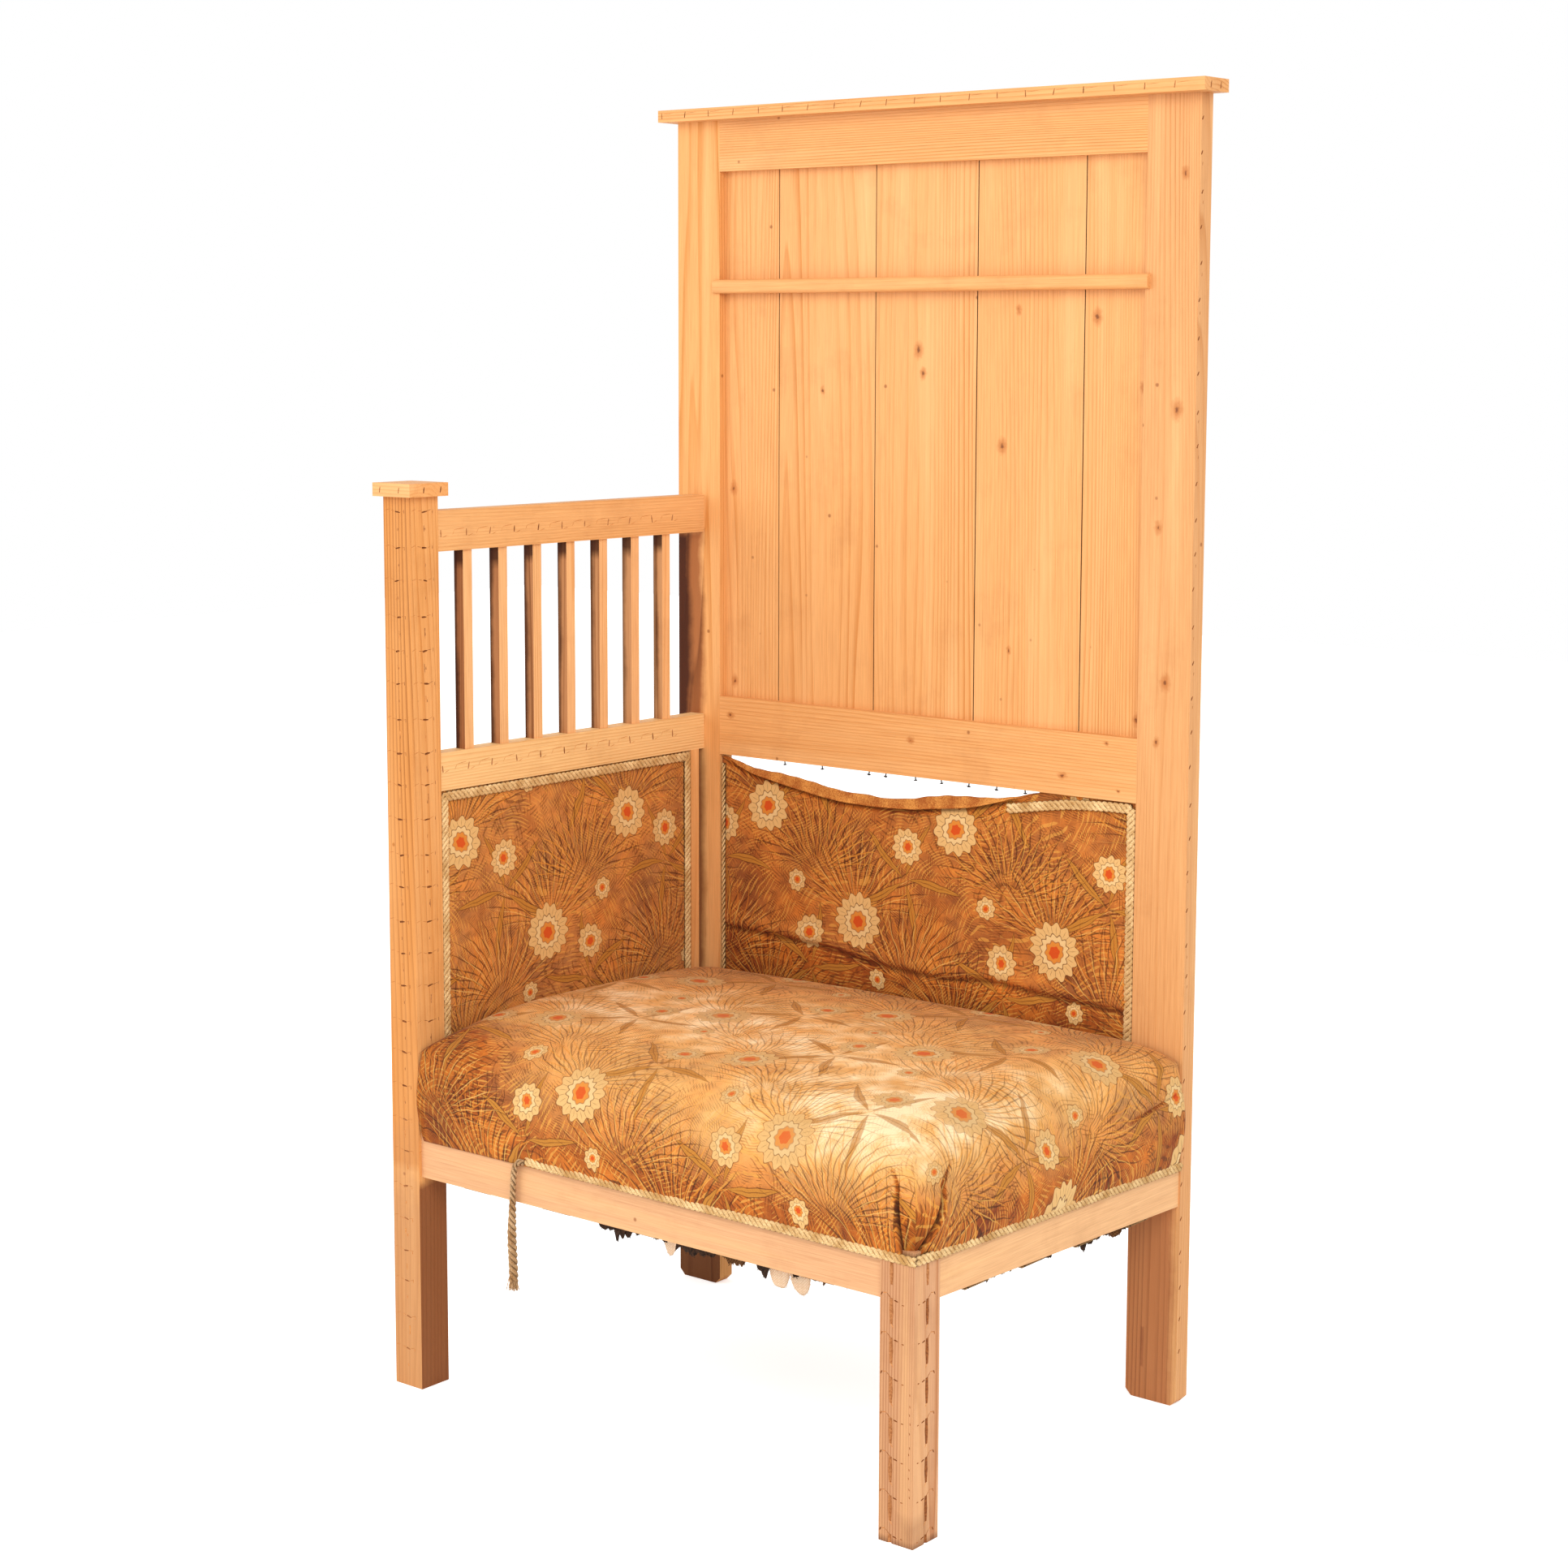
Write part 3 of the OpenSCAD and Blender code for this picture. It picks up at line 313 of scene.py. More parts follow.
def tube(line: np.ndarray, wide: np.ndarray | float, high: np.ndarray | float,
         up: Sequence[float] | np.ndarray, sides: int = 8) -> Mesh:
    """An oval tube along a line.

    Args:
        line: its points, in mm.
        wide: half its width across "up", in mm, one value or one per point.
        high: half its height along "up", in mm.
        up: the direction that its flat side faces, one vector or one per point.
        sides: corners round it.

    Returns:
        Its points and its faces, with both ends closed.
    """
    count = len(line)
    ahead = unit(np.gradient(line, axis=0))
    across = unit(np.cross(ahead, np.broadcast_to(np.asarray(up, float), line.shape)))
    top = np.cross(across, ahead)
    turn = np.linspace(0, 2 * np.pi, sides, endpoint=False)
    wide, high = (np.broadcast_to(np.asarray(v, float), (count,)) for v in (wide, high))
    ring = line[:, None] + (across[:, None] * np.cos(turn)[None, :, None] * wide[:, None, None]
                            + top[:, None] * np.sin(turn)[None, :, None] * high[:, None, None])
    ends = [tuple(range(sides))[::-1], tuple((count - 1) * sides + k for k in range(sides))]
    return ring.reshape(-1, 3), grid_faces(count, sides, closed=True) + ends


def join(parts: Iterable[Mesh]) -> Mesh:
    """Lists several meshes as one.

    Args:
        parts: the points and the faces of each.

    Returns:
        All their points and faces.
    """
    points, faces, start = [], [], 0
    for own, quads in parts:
        points.append(own)
        faces += [tuple(i + start for i in f) for f in quads]
        start += len(own)
    return np.concatenate(points), faces


# Finishes

Value = bpy.types.NodeSocket | float | Sequence[float] | str


def add_node(tree: bpy.types.NodeTree, kind: str, inputs: dict[int | str, Value] | None = None,
             out: int | str = 0, **settings: object) -> bpy.types.NodeSocket:
    """Adds one shader node with its settings and links.

    Args:
        tree: the material's nodes.
        kind: the node's type, after "ShaderNode".
        inputs: what each input takes: a socket to link, a value or an sRGB hex colour.
        out: the output to give back.
        settings: the node's own settings.

    Returns:
        The output socket.
    """
    made = tree.nodes.new("ShaderNode" + kind)
    for name, value in settings.items():
        setattr(made, name, value)
    for key, value in (inputs or {}).items():
        if isinstance(value, bpy.types.NodeSocket):
            tree.links.new(value, made.inputs[key])
        else:
            made.inputs[key].default_value = linear(value) if isinstance(value, str) else value
    return made.outputs[out]


@dataclass(frozen=True)
class Paint:
    """A material's nodes, and short words for the ones that its colours are mixed with."""

    tree: bpy.types.NodeTree

    def place(self) -> Value:
        """Where a point of the piece lies, in metres."""
        return add_node(self.tree, "TexCoord", out="Object")

    def cloth(self) -> Value:
        """Where a point lies on the flat cloth, in metres."""
        return add_node(self.tree, "UVMap", uv_map="cloth")

    def wear(self) -> Value:
        """How rubbed a point of cloth is; below 0, and all over braid, how much painted shade its fold or tuck
        takes.
        """
        return add_node(self.tree, "Attribute", out="Fac", attribute_name="wear")

    def math(self, operation: str, *values: Value) -> Value:
        """A sum on single values."""
        return add_node(self.tree, "Math", dict(enumerate(values)), operation=operation)

    def vector(self, operation: str, *values: Value) -> Value:
        """A sum on vectors; a length or a dot product comes back as a single value."""
        out = "Value" if operation in ("LENGTH", "DOT_PRODUCT") else 0
        return add_node(self.tree, "VectorMath", dict(enumerate(values)), out, operation=operation)

    def scaled(self, vector: Value, share: Value) -> Value:
        """A vector times a single value."""
        return add_node(self.tree, "VectorMath", {0: vector, "Scale": share}, operation="SCALE")

    def noise(self, at: Value, scale: float, detail: float = 2.0, rough: float = 0.5,
              out: int | str = 0) -> Value:
        """Soft noise with about "scale" lumps in a metre."""
        inputs = {"Vector": at, "Scale": scale, "Detail": detail, "Roughness": rough}
        return add_node(self.tree, "TexNoise", inputs, out)

    def shake(self, at: Value, scale: float, reach: float) -> Value:
        """Moves places about by noise, up to half of "reach" metres each way."""
        sway = self.vector("SUBTRACT", self.noise(at, scale, out="Color"), (0.5, 0.5, 0.5))
        return self.vector("ADD", at, self.scaled(sway, reach))

    def fade(self, value: Value, low: float, high: float, first: float = 0.0, last: float = 1.0) -> Value:
        """Runs from first to last while the value runs from low to high."""
        return add_node(self.tree, "MapRange", {0: value, 1: low, 2: high, 3: first, 4: last})

    def tint(self, share: Value, under: Value, over: Value) -> Value:
        """Lays a share of one colour over another."""
        return add_node(self.tree, "Mix", {0: share, 6: under, 7: over}, 2, data_type="RGBA")


@dataclass(frozen=True)
class Finish:
    """A finish: its name, its even roughness and what else is the same all over it."""

    name: str
    roughness: float = 0.6
    sheen: float = 0.0
    metallic: float = 0.0
    gloss: float = 0.25

    def colour(self, paint: Paint) -> tuple[Value, Value]:
        """The sockets of the surface's colour and height."""
        raise NotImplementedError

    def build(self) -> bpy.types.Material:
        """Makes the material, once for each different finish.

        Returns:
            The material.
        """
        found = bpy.data.materials.get(self.name)
        if found:
            return found
        made = bpy.data.materials.new(self.name)
        made.use_nodes = True
        tree = made.node_tree
        colour, height = self.colour(Paint(tree))
        bump = add_node(tree, "Bump", {"Height": height, "Strength": 0.6, "Distance": 0.0008})
        shader = next(n for n in tree.nodes if n.type == "BSDF_PRINCIPLED").inputs
        tree.links.new(colour, shader["Base Color"])
        tree.links.new(bump, shader["Normal"])
        shader["Roughness"].default_value = self.roughness
        shader["Metallic"].default_value = self.metallic
        shader["Sheen Weight"].default_value = self.sheen
        shader["Specular IOR Level"].default_value = self.gloss
        return made


@dataclass(frozen=True)
class StainAndShade:
    """A dark patch on the faces that look one way, between two corners in mm; some are old varnish that the
    stripping left, others painted shade.
    """

    low: Point
    high: Point
    colour: str
    strength: float = 0.9
    soft: float = 14.0
    facing: Point = FRONT


@dataclass(frozen=True)
class Pine(Finish):
    """Scots pine, stripped of its paint and waxed: honey-coloured, with orange summer wood and amber knots.

    Its year rings lie 3 to 6 mm apart on a face and run into long tongues; fibres are under 1 mm and are
    drawn at 1.2 mm so that they show. Old stain is left where the stripping did not reach, and some faces
    take painted shade.
    """

    roughness: float = 0.5
    grain: Grain = Grain.UP
    spring: str = "#EBAB6A"
    summer: str = "#CF833C"
    dirt: str = "#9C5A28"
    figure: float = 1.5
    stains_and_shade: tuple[StainAndShade, ...] = ()
    knots: tuple[tuple[float, float, float, float], ...] = ()

    def drawn_out(self, share: float) -> Point:
        """A scale that draws what it measures out along the grain."""
        return tuple(share if axis is self.grain else 1.0 for axis in Grain)

    def rings(self, paint: Paint, along: Value) -> Value:
        """The dark summer wood of the year rings.

        Args:
            paint: the material's nodes.
            along: where each point lies, with the grain's own way drawn out.

        Returns:
            A socket, 0 in spring wood and up to 1 in summer wood.
        """
        wave = paint.math("MULTIPLY", paint.vector("LENGTH", paint.shake(along, 9.0, 0.075)), 210.0)
        line = add_node(paint.tree, "ValToRGB", {0: paint.math("FRACT", wave)})
        ramp = line.node.color_ramp
        ramp.elements[0].color = ramp.elements[1].color = (0, 0, 0, 1)
        for at, grey in ((0.55, 0.12), (0.86, 0.85), (0.93, 1.0)):
            ramp.elements.new(at).color = (grey, grey, grey, 1)
        clear = paint.fade(paint.noise(along, 14.0, 1.0), 0.35, 0.7, 0.12 * self.figure, 0.62 * self.figure)
        return paint.math("MULTIPLY", line, clear)

    def colour(self, paint: Paint) -> tuple[Value, Value]:
        """Rings, fibres, pale streaks, dirt, resin flecks, knots, old stain and painted shade.

        Args:
            paint: the material's nodes.

        Returns:
            The sockets of the colour and the height.
        """
        place = paint.place()
        chance = add_node(paint.tree, "ObjectInfo", out="Random")
        moved = paint.vector("ADD", place, paint.scaled((0.71, 0.53, 0.37), chance))
        along = paint.vector("MULTIPLY", moved, self.drawn_out(0.045))
        rings = self.rings(paint, along)
        fibre = paint.noise(paint.vector("MULTIPLY", moved, self.drawn_out(0.02)), 820.0, 2.0, 0.6)
        soil = paint.noise(moved, 7.0, 6.0, 0.65)
        fleck = add_node(paint.tree, "TexVoronoi", {"Vector": moved, "Scale": 16.0}, "Distance")
        wood = paint.tint(rings, self.spring, self.summer)
        wood = paint.tint(paint.fade(fibre, 0.3, 0.75, 0.0, 0.32), wood, self.dirt)
        wood = paint.tint(paint.fade(paint.noise(along, 34.0, 3.0), 0.5, 0.75, 0.0, 0.5), wood, "#F2BC80")
        wood = paint.tint(paint.fade(soil, 0.55, 0.8, 0.0, 0.28), wood, self.dirt)
        wood = paint.tint(paint.fade(fleck, 0.025, 0.055, 0.7, 0.0), wood, "#8A4A20")
        for x, y, z, size in self.knots:
            off = paint.vector("SUBTRACT", place, row((x, y, z)))
            far = paint.vector("LENGTH", paint.vector("MULTIPLY", off, self.drawn_out(0.65)))
            far = paint.math("MULTIPLY_ADD", paint.noise(moved, 190.0), 0.006, far)
            far = paint.math("SUBTRACT", far, 0.003)
            wood = paint.tint(paint.fade(far, size / 2400, size / 800, 0.7, 0.0), wood, "#B5682C")
            wood = paint.tint(paint.fade(far, size / 7000, size / 2800, 0.8, 0.0), wood, "#6E3818")
        # Patches of old stain and of painted shade, darker again in the summer wood.
        for stain_and_shade in self.stains_and_shade:
            left = self.stain_and_shade_cover(paint, stain_and_shade, place, soil)
            wood = paint.tint(left, wood, stain_and_shade.colour)
            wood = paint.tint(paint.math("MULTIPLY", left, rings), wood, "#4A2410")
        return wood, paint.math("MULTIPLY_ADD", fibre, 0.35, rings)

    def stain_and_shade_cover(self, paint: Paint, stain_and_shade: StainAndShade, place: Value, soil: Value) -> Value:
        """How strongly one dark patch covers the wood.

        Args:
            paint: the material's nodes.
            stain_and_shade: the patch.
            place: where each point of the piece lies.
            soil: the noise that makes its edge uneven.

        Returns:
            A socket, 0 outside the patch and its strength well inside.
        """
        soft = stain_and_shade.soft / 1000
        lean = paint.vector("DOT_PRODUCT", add_node(paint.tree, "NewGeometry", out="Normal"), stain_and_shade.facing)
        near = paint.vector("MINIMUM", paint.vector("SUBTRACT", place, row(stain_and_shade.low)),
                            paint.vector("SUBTRACT", row(stain_and_shade.high), place))
        parts = add_node(paint.tree, "SeparateXYZ", {0: near}).node.outputs
        least = paint.math("MINIMUM", paint.math("MINIMUM", parts[0], parts[1]), parts[2])
        least = paint.math("ADD", least, paint.fade(soil, 0.3, 0.7, -0.5 * soft, 0.5 * soft))
        seen = paint.fade(lean, 0.5, 0.8, 0.0, stain_and_shade.strength)
        return paint.math("MULTIPLY", seen, paint.fade(least, 0.0, soft))


@dataclass(frozen=True)
class Star:
    """One ring of rounded petals in the print: its radius and petal depth in mm, and its colour."""

    radius: float
    petal: float
    count: int
    colour: str
    phase: float = 0.0
    strength: float = 0.92

    def cover(self, paint: Paint, turn: Value, far: Value, rise: Value) -> Value:
        """Where its petals lie.

        Args:
            paint: the material's nodes.
            turn: the angle round the motif, in turns.
            far: the distance from its middle, in metres.
            rise: not used.

        Returns:
            A socket, 1 on a petal.
        """
        wave = paint.math("MULTIPLY_ADD", turn, 2 * math.pi * self.count, self.phase * 2 * math.pi)
        edge = paint.math("MULTIPLY_ADD", paint.math("SINE", wave), self.petal / 1000, self.radius / 1000)
        return paint.fade(paint.math("SUBTRACT", edge, far), -0.0003, 0.0006)


@dataclass(frozen=True)
class Wreath:
    """Leaves or blades round a motif: from and to radius, half width in mm, and curl in turns per metre."""

    inner: float
    outer: float
    wide: float
    count: int
    curl: float
    colour: str
    upward: bool = False
    strength: float = 0.8

    def cover(self, paint: Paint, turn: Value, far: Value, rise: Value) -> Value:
        """Where its leaves lie, given as for a star.

        Args:
            paint: the material's nodes.
            turn: the angle round the motif, in turns.
            far: the distance from its middle, in metres.
            rise: how far above its middle, as a share of that distance.

        Returns:
            A socket, 1 on a leaf.
        """
        twist = paint.math("MULTIPLY", far, self.curl * self.count / 7)
        part = paint.math("FRACT", paint.math("MULTIPLY_ADD", turn, float(self.count), twist))
        aside = paint.math("ABSOLUTE", paint.math("SUBTRACT", part, 0.5))
        off = paint.math("MULTIPLY", aside, paint.math("MULTIPLY", far, 2 * math.pi / self.count))
        swell = paint.math("SINE", paint.fade(far, self.inner / 1000, self.outer / 1000, 0.0, math.pi))
        if self.upward:
            swell = paint.math("MULTIPLY", swell, paint.fade(rise, -0.1, 0.35))
        half = paint.math("MULTIPLY", swell, self.wide / 1000)
        return paint.fade(paint.math("SUBTRACT", half, off), -0.0002, 0.0005)


@dataclass(frozen=True)
class Motif:
    """A motif of the print: where its lattice starts, in mm, and its rings from the lowest up."""

    start: tuple[float, float]
    layers: tuple[Star | Wreath, ...]


def spray(start: tuple[float, float], curl: float, dark: str, light: str, pale: str) -> Motif:
    """A tuft of grass.

    Args:
        start: where its lattice starts, in mm.
        curl: how far its blades lean over, in turns per metre.
        dark: the colour of its widest blades.
        light: the colour of the blades over them, which lean the other way.
        pale: the colour of the thin blades on top.

    Returns:
        Three crossing fans of blades.
    """
    return Motif(start, (Wreath(6, 148, 1.25, 44, curl, dark, True),
                         Wreath(12, 140, 1.1, 36, -0.8 * curl, light, True),
                         Wreath(20, 128, 0.7, 27, 0.45 * curl, pale, True)))


def leaves(start: tuple[float, float], curl: float) -> Motif:
    """A whorl of long leaves, outlined and veined."""
    return Motif(start, (Wreath(3, 98, 6.4, 5, curl, "#4A220C"), Wreath(5, 95, 5.2, 5, curl, "#D08A34"),
                         Wreath(8, 92, 0.7, 5, curl, "#5A2A0E")))


def flower(start: tuple[float, float], size: float, petals: int) -> Motif:
    """A round seed head.

    Args:
        start: where its lattice starts, in mm.
        size: its radius, in mm.
        petals: how many petals it has.

    Returns:
        Outlined petals, a hatched ring, a pale eye and a red middle.
    """
    return Motif(start, (Star(size, size * 0.09, petals, "#6B3A18"),
                         Star(size - 1.1, size * 0.085, petals, "#EEC07C"),
                         Wreath(size * 0.6, size - 2.5, 0.5, 2 * petals, 0, "#6B3A14"),
                         Star(size * 0.62, size * 0.05, petals, "#5C2C10", 0.5),
                         Star(size * 0.58, size * 0.05, petals, "#F4CE90", 0.5),
                         Star(size * 0.4, size * 0.03, 9, "#9A5018"),
                         Star(size * 0.36, size * 0.03, 9, "#E08A30"),
                         Star(size * 0.22, 0.6, 6, "#CC3A0E")))


# A made-up print of seed heads, leaves and tufts of grass on a half-drop lattice
PRINT_REPEAT = (340.0, 300.0)
PRINT = (
    spray((0, 10), 2.6, "#43200C", "#D98C34", "#E9B765"),
    spray((170, 160), -2.6, "#3F1D0B", "#D5832C", "#E3AC58"),
    leaves((85, 70), 1.6), leaves((255, 222), -1.6),
    spray((96, 215), 3.2, "#4A230D", "#CC7A2A", "#E9B765"),
    spray((262, 62), -3.2, "#46200C", "#D68A33", "#E2A850"),
    flower((0, 0), 39, 14), flower((170, 150), 36, 12), flower((88, 118), 26, 11), flower((254, 272), 25, 10),
    flower((36, 218), 15, 8), flower((226, 46), 16, 8),
)


@dataclass(frozen=True)
class PrintedCotton(Finish):
    """Cotton twill, screen printed with seed heads and grasses and rubbed pale where people sit.

    Its threads lie 0.6 mm apart and are drawn at 1.4 mm so that they show; the sheen is the soft nap.
    """

    ground: str = "#843A14"
    haze: str = "#D07326"

    def hatch(self, paint: Paint, cloth: Value, lean: float, spacing: float, thin: float) -> Value:
        """Short drawn strokes that follow a slowly turning direction.

        Args:
            paint: the material's nodes.
            cloth: where each point lies on the flat cloth, in metres.
            lean: the strokes' direction, in degrees from the cloth's length.
            spacing: the distance between strokes, in mm.
            thin: how much of the spacing stays clear, from 0 to 1.

        Returns:
            A socket, 1 on a stroke.
        """
        turn = math.radians(lean)
        across = paint.vector("DOT_PRODUCT", cloth, (math.cos(turn), math.sin(turn), 0))
        across = paint.math("MULTIPLY_ADD", paint.noise(cloth, 6.5, 0.0), 0.16, across)
        wave = paint.math("SINE", paint.math("MULTIPLY", across, 2 * math.pi / (spacing / 1000)))
        wave = paint.math("MULTIPLY_ADD", paint.noise(cloth, 56.0 + lean / 10, 1.0), 3.4, wave)
        return paint.fade(wave, 1.7 + thin, 1.95 + thin)

    def colour(self, paint: Paint) -> tuple[Value, Value]:
        """The ground, then each motif, rubbed pale above a wear of 0, and darkened below it by dirt and
        painted shade in folds.

        Args:
            paint: the material's nodes.

        Returns:
            The sockets of the colour and the height.
        """
        cloth, rub_and_shade = paint.cloth(), paint.wear()
        drawn = paint.shake(cloth, 24.0, 0.011)
        here = paint.tint(paint.fade(paint.noise(cloth, 12.0, 5.0, 0.7), 0.38, 0.64), self.ground, self.haze)
        bare = paint.math("MULTIPLY", rub_and_shade, paint.fade(paint.noise(cloth, 22.0, 4.0), 0.3, 0.7, 0.55, 1.1))
        here = paint.tint(bare, here, paint.tint(paint.fade(bare, 0.62, 1.0), "#FFC97C", "#FCDDAE"))
        kept, faint = paint.fade(bare, 0.0, 1.0, 0.92, 0.5), paint.fade(bare, 0.0, 1.0, 0.62, 0.12)
        for lean, spacing, thin, ink in ((62, 5.2, 0.75, "#55280E"), (-58, 6.0, 0.7, "#E2A048"),
                                         (8, 4.4, 0.9, "#6A3210")):
            stroke = self.hatch(paint, drawn, lean, spacing, thin)
            here = paint.tint(paint.math("MULTIPLY", stroke, faint), here, ink)
        wide, high = (v / 2000 for v in PRINT_REPEAT)
        for motif in PRINT:
            off = paint.vector("SUBTRACT", drawn, (motif.start[0] / 1000, motif.start[1] / 1000, 0))
            local = paint.vector("WRAP", off, (wide, high, 1), (-wide, -high, -1))
            flat = paint.vector("MULTIPLY", local, (1, 1, 0))
            far = paint.vector("LENGTH", flat)
            turn = add_node(paint.tree, "TexGradient", {0: flat}, 1, gradient_type="RADIAL")
            rise = paint.math("DIVIDE", add_node(paint.tree, "SeparateXYZ", {0: flat}, 1), far)
            for item in motif.layers:
                cover = paint.math("MULTIPLY", item.cover(paint, turn, far, rise), item.strength)
                here = paint.tint(paint.math("MULTIPLY", cover, kept), here, item.colour)
        # Below 0: dirt and painted shade in folds and creases, darkest at -1.
        here = paint.tint(paint.fade(rub_and_shade, 0.0, -1.0, 0.0, 0.88), here, "#3A1808")
        weave = 0.0
        for lean in ((1, 1, 0), (1, -1, 0)):
            wave = paint.math("MULTIPLY", paint.vector("DOT_PRODUCT", cloth, lean), 2 * math.pi / 0.0020)
            weave = paint.math("ADD", paint.math("SINE", wave), weave)
        return here, paint.math("MULTIPLY", weave, 0.12)


@dataclass(frozen=True)
class Thread(Finish):
    """Cotton or jute yarn, light and soiled, with fibres drawn at 1 mm and painted shade where strands dive.
    """

    light: str = "#F0CE97"
    soiled: str = "#B98B52"
    tuck_shade: str = "#4A2A12"
    speck: float = 260.0

    def colour(self, paint: Paint) -> tuple[Value, Value]:
        """Soiling in patches over fine fibres, and painted shade in the tucks.

        Args:
            paint: the material's nodes.

        Returns:
            The sockets of the colour and the height.
        """
        place = paint.place()
        fibre = paint.noise(place, self.speck * 3, 3.0)
        both = paint.math("MULTIPLY", fibre, paint.noise(place, 38.0, 4.0))
        here = paint.tint(paint.fade(both, 0.16, 0.38, 1.0, 0.0), self.light, self.soiled)
        # The tucks, where strands dive under each other, take painted shade.
        return paint.tint(paint.wear(), here, self.tuck_shade), fibre


@dataclass(frozen=True)
class Weave(Finish):
    """Plain-woven jute: threads cross at the given spacing in mm, with thick and thin yarns."""

    light: str = "#D6AF76"
    dark: str = "#8F693C"
    spacing: float = 1.8
    stripes: bool = False

    def colour(self, paint: Paint) -> tuple[Value, Value]:
        """Over and under threads from two crossed waves, slubs, stains and a dark line near webbing's edges.

        Args:
            paint: the material's nodes.

        Returns:
            The sockets of the colour and the height.
        """
        cloth = paint.cloth()
        at = paint.vector("ADD", cloth, paint.scaled(paint.noise(cloth, 60.0, out="Color"), 0.004))
        waves = []
        for axis in ((1, 0, 0), (0, 1, 0)):
            run = paint.vector("DOT_PRODUCT", at, axis)
            waves.append(paint.math("SINE", paint.math("MULTIPLY", run, math.pi / (self.spacing / 1000))))
        over = paint.fade(paint.math("MULTIPLY", *waves), -0.8, 0.9)
        here = paint.tint(over, self.dark, self.light)
        # Slubs: real yarns are 1 mm wide, drawn at 3 mm so that they show.
        slub = 0.0
        for stretch in ((320.0, 16.0, 1.0), (16.0, 320.0, 1.0)):
            slub = paint.math("ADD", paint.noise(paint.vector("MULTIPLY", cloth, stretch), 1.0), slub)
        here = paint.tint(paint.fade(slub, 0.86, 1.22, 0.0, 0.75), here, self.dark)
        soil = paint.noise(cloth, 7.0, 5.0, 0.65)
        here = paint.tint(paint.fade(soil, 0.42, 0.7, 0.0, 0.6), here, self.dark)
        if self.stripes:
            edge = paint.math("ABSOLUTE", add_node(paint.tree, "SeparateXYZ", {0: cloth}))
            here = paint.tint(paint.math("COMPARE", edge, 0.018, 0.0014), here, "#3B2A1C")
        return here, over


@dataclass(frozen=True)
class Plain(Finish):
    """Tarnished steel or curled hair: one colour that drifts towards another in small patches."""

    light: str = "#8C8478"
    dark: str = "#3E3832"
    patch: float = 160.0

    def colour(self, paint: Paint) -> tuple[Value, Value]:
        """Two tones in patches, which also lift the surface a little."""
        noise = paint.noise(paint.place(), self.patch, 5.0)
        return paint.tint(paint.fade(noise, 0.35, 0.65), self.dark, self.light), noise


class Tone(Enum):
    """The bared wood in a cut, from the deep, dirty ones to scratches."""

    DEEP = Plain("pine_cut_deep", 0.8, light="#A0602F", dark="#7A4422", patch=400.0)
    GOUGED = Plain("pine_cut_gouged", 0.8, light="#C08350", dark="#A06538", patch=400.0)
    SCRATCHED = Plain("pine_cut_scratched", 0.8, light="#DD9E5C", dark="#C98547", patch=400.0)


COTTON = PrintedCotton("cotton_twill_printed", 0.85, sheen=0.04, gloss=0.15)
REVERSE = Thread("cotton_twill_reverse", 0.85, light="#E29A4A", soiled="#A4561F", speck=200.0)
GIMP = Thread("cotton_gimp_braid", 0.8, gloss=0.1)
CORD = Thread("cotton_gimp_frayed", 0.85, gloss=0.1, light="#E2BE92", soiled="#9C7044", tuck_shade="#3E2410")
HESSIAN = Weave("jute_hessian", 0.9)
WEBBING = Weave("jute_webbing", 0.88, light="#C29C66", dark="#80603A", spacing=1.4, stripes=True)
RAGS = (Weave("hessian_torn", 0.92, light="#F8E0C6", dark="#DDB892", spacing=1.7),
        Weave("lining_rotted", 0.95, light="#8A5E34", dark="#4A2C16", spacing=2.0),
        # Near-black rotted felt; its shreds under the rails also stand in for the shade there, as painted
        # shadow.
        Plain("felt_rotted", 0.95, light="#4A3324", dark="#1E140E", patch=300.0))
HAIR = Plain("curled_hair", 0.95, light="#4A382B", dark="#1D1410", patch=500.0)
TACK = Plain("blued_steel_tack", 0.45, metallic=1.0, light="#5A5450", dark="#2A2320", patch=900.0)
SPRING = Plain("coppered_spring_wire", 0.4, metallic=1.0, light="#9A6A48", dark="#4A3328", patch=300.0)


def dress(piece: bpy.types.Object, finish: Finish, slot: str, *others: Finish) -> bpy.types.Object:
    """Gives a piece its finishes and lets it ride on the settle.

    Args:
        piece: the piece.
        finish: its main finish.
        slot: not used.
        others: finishes that only some of its faces take.

    Returns:
        The same piece.
    """
    piece.data.materials.clear()
    for own in (finish, *others):
        piece.data.materials.append(own.build())
    if "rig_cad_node" not in piece:
        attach(piece, "root")
    log.info("%s: %s", piece.name, finish.name)
    return piece


def round_arrises(piece: bpy.types.Object) -> None:
    """Wears a timber's sharp edges round."""
    worn = piece.modifiers.new("worn arris", "BEVEL")
    worn.width, worn.segments, worn.limit_method = SIZE.arris / 1000, 2, "ANGLE"


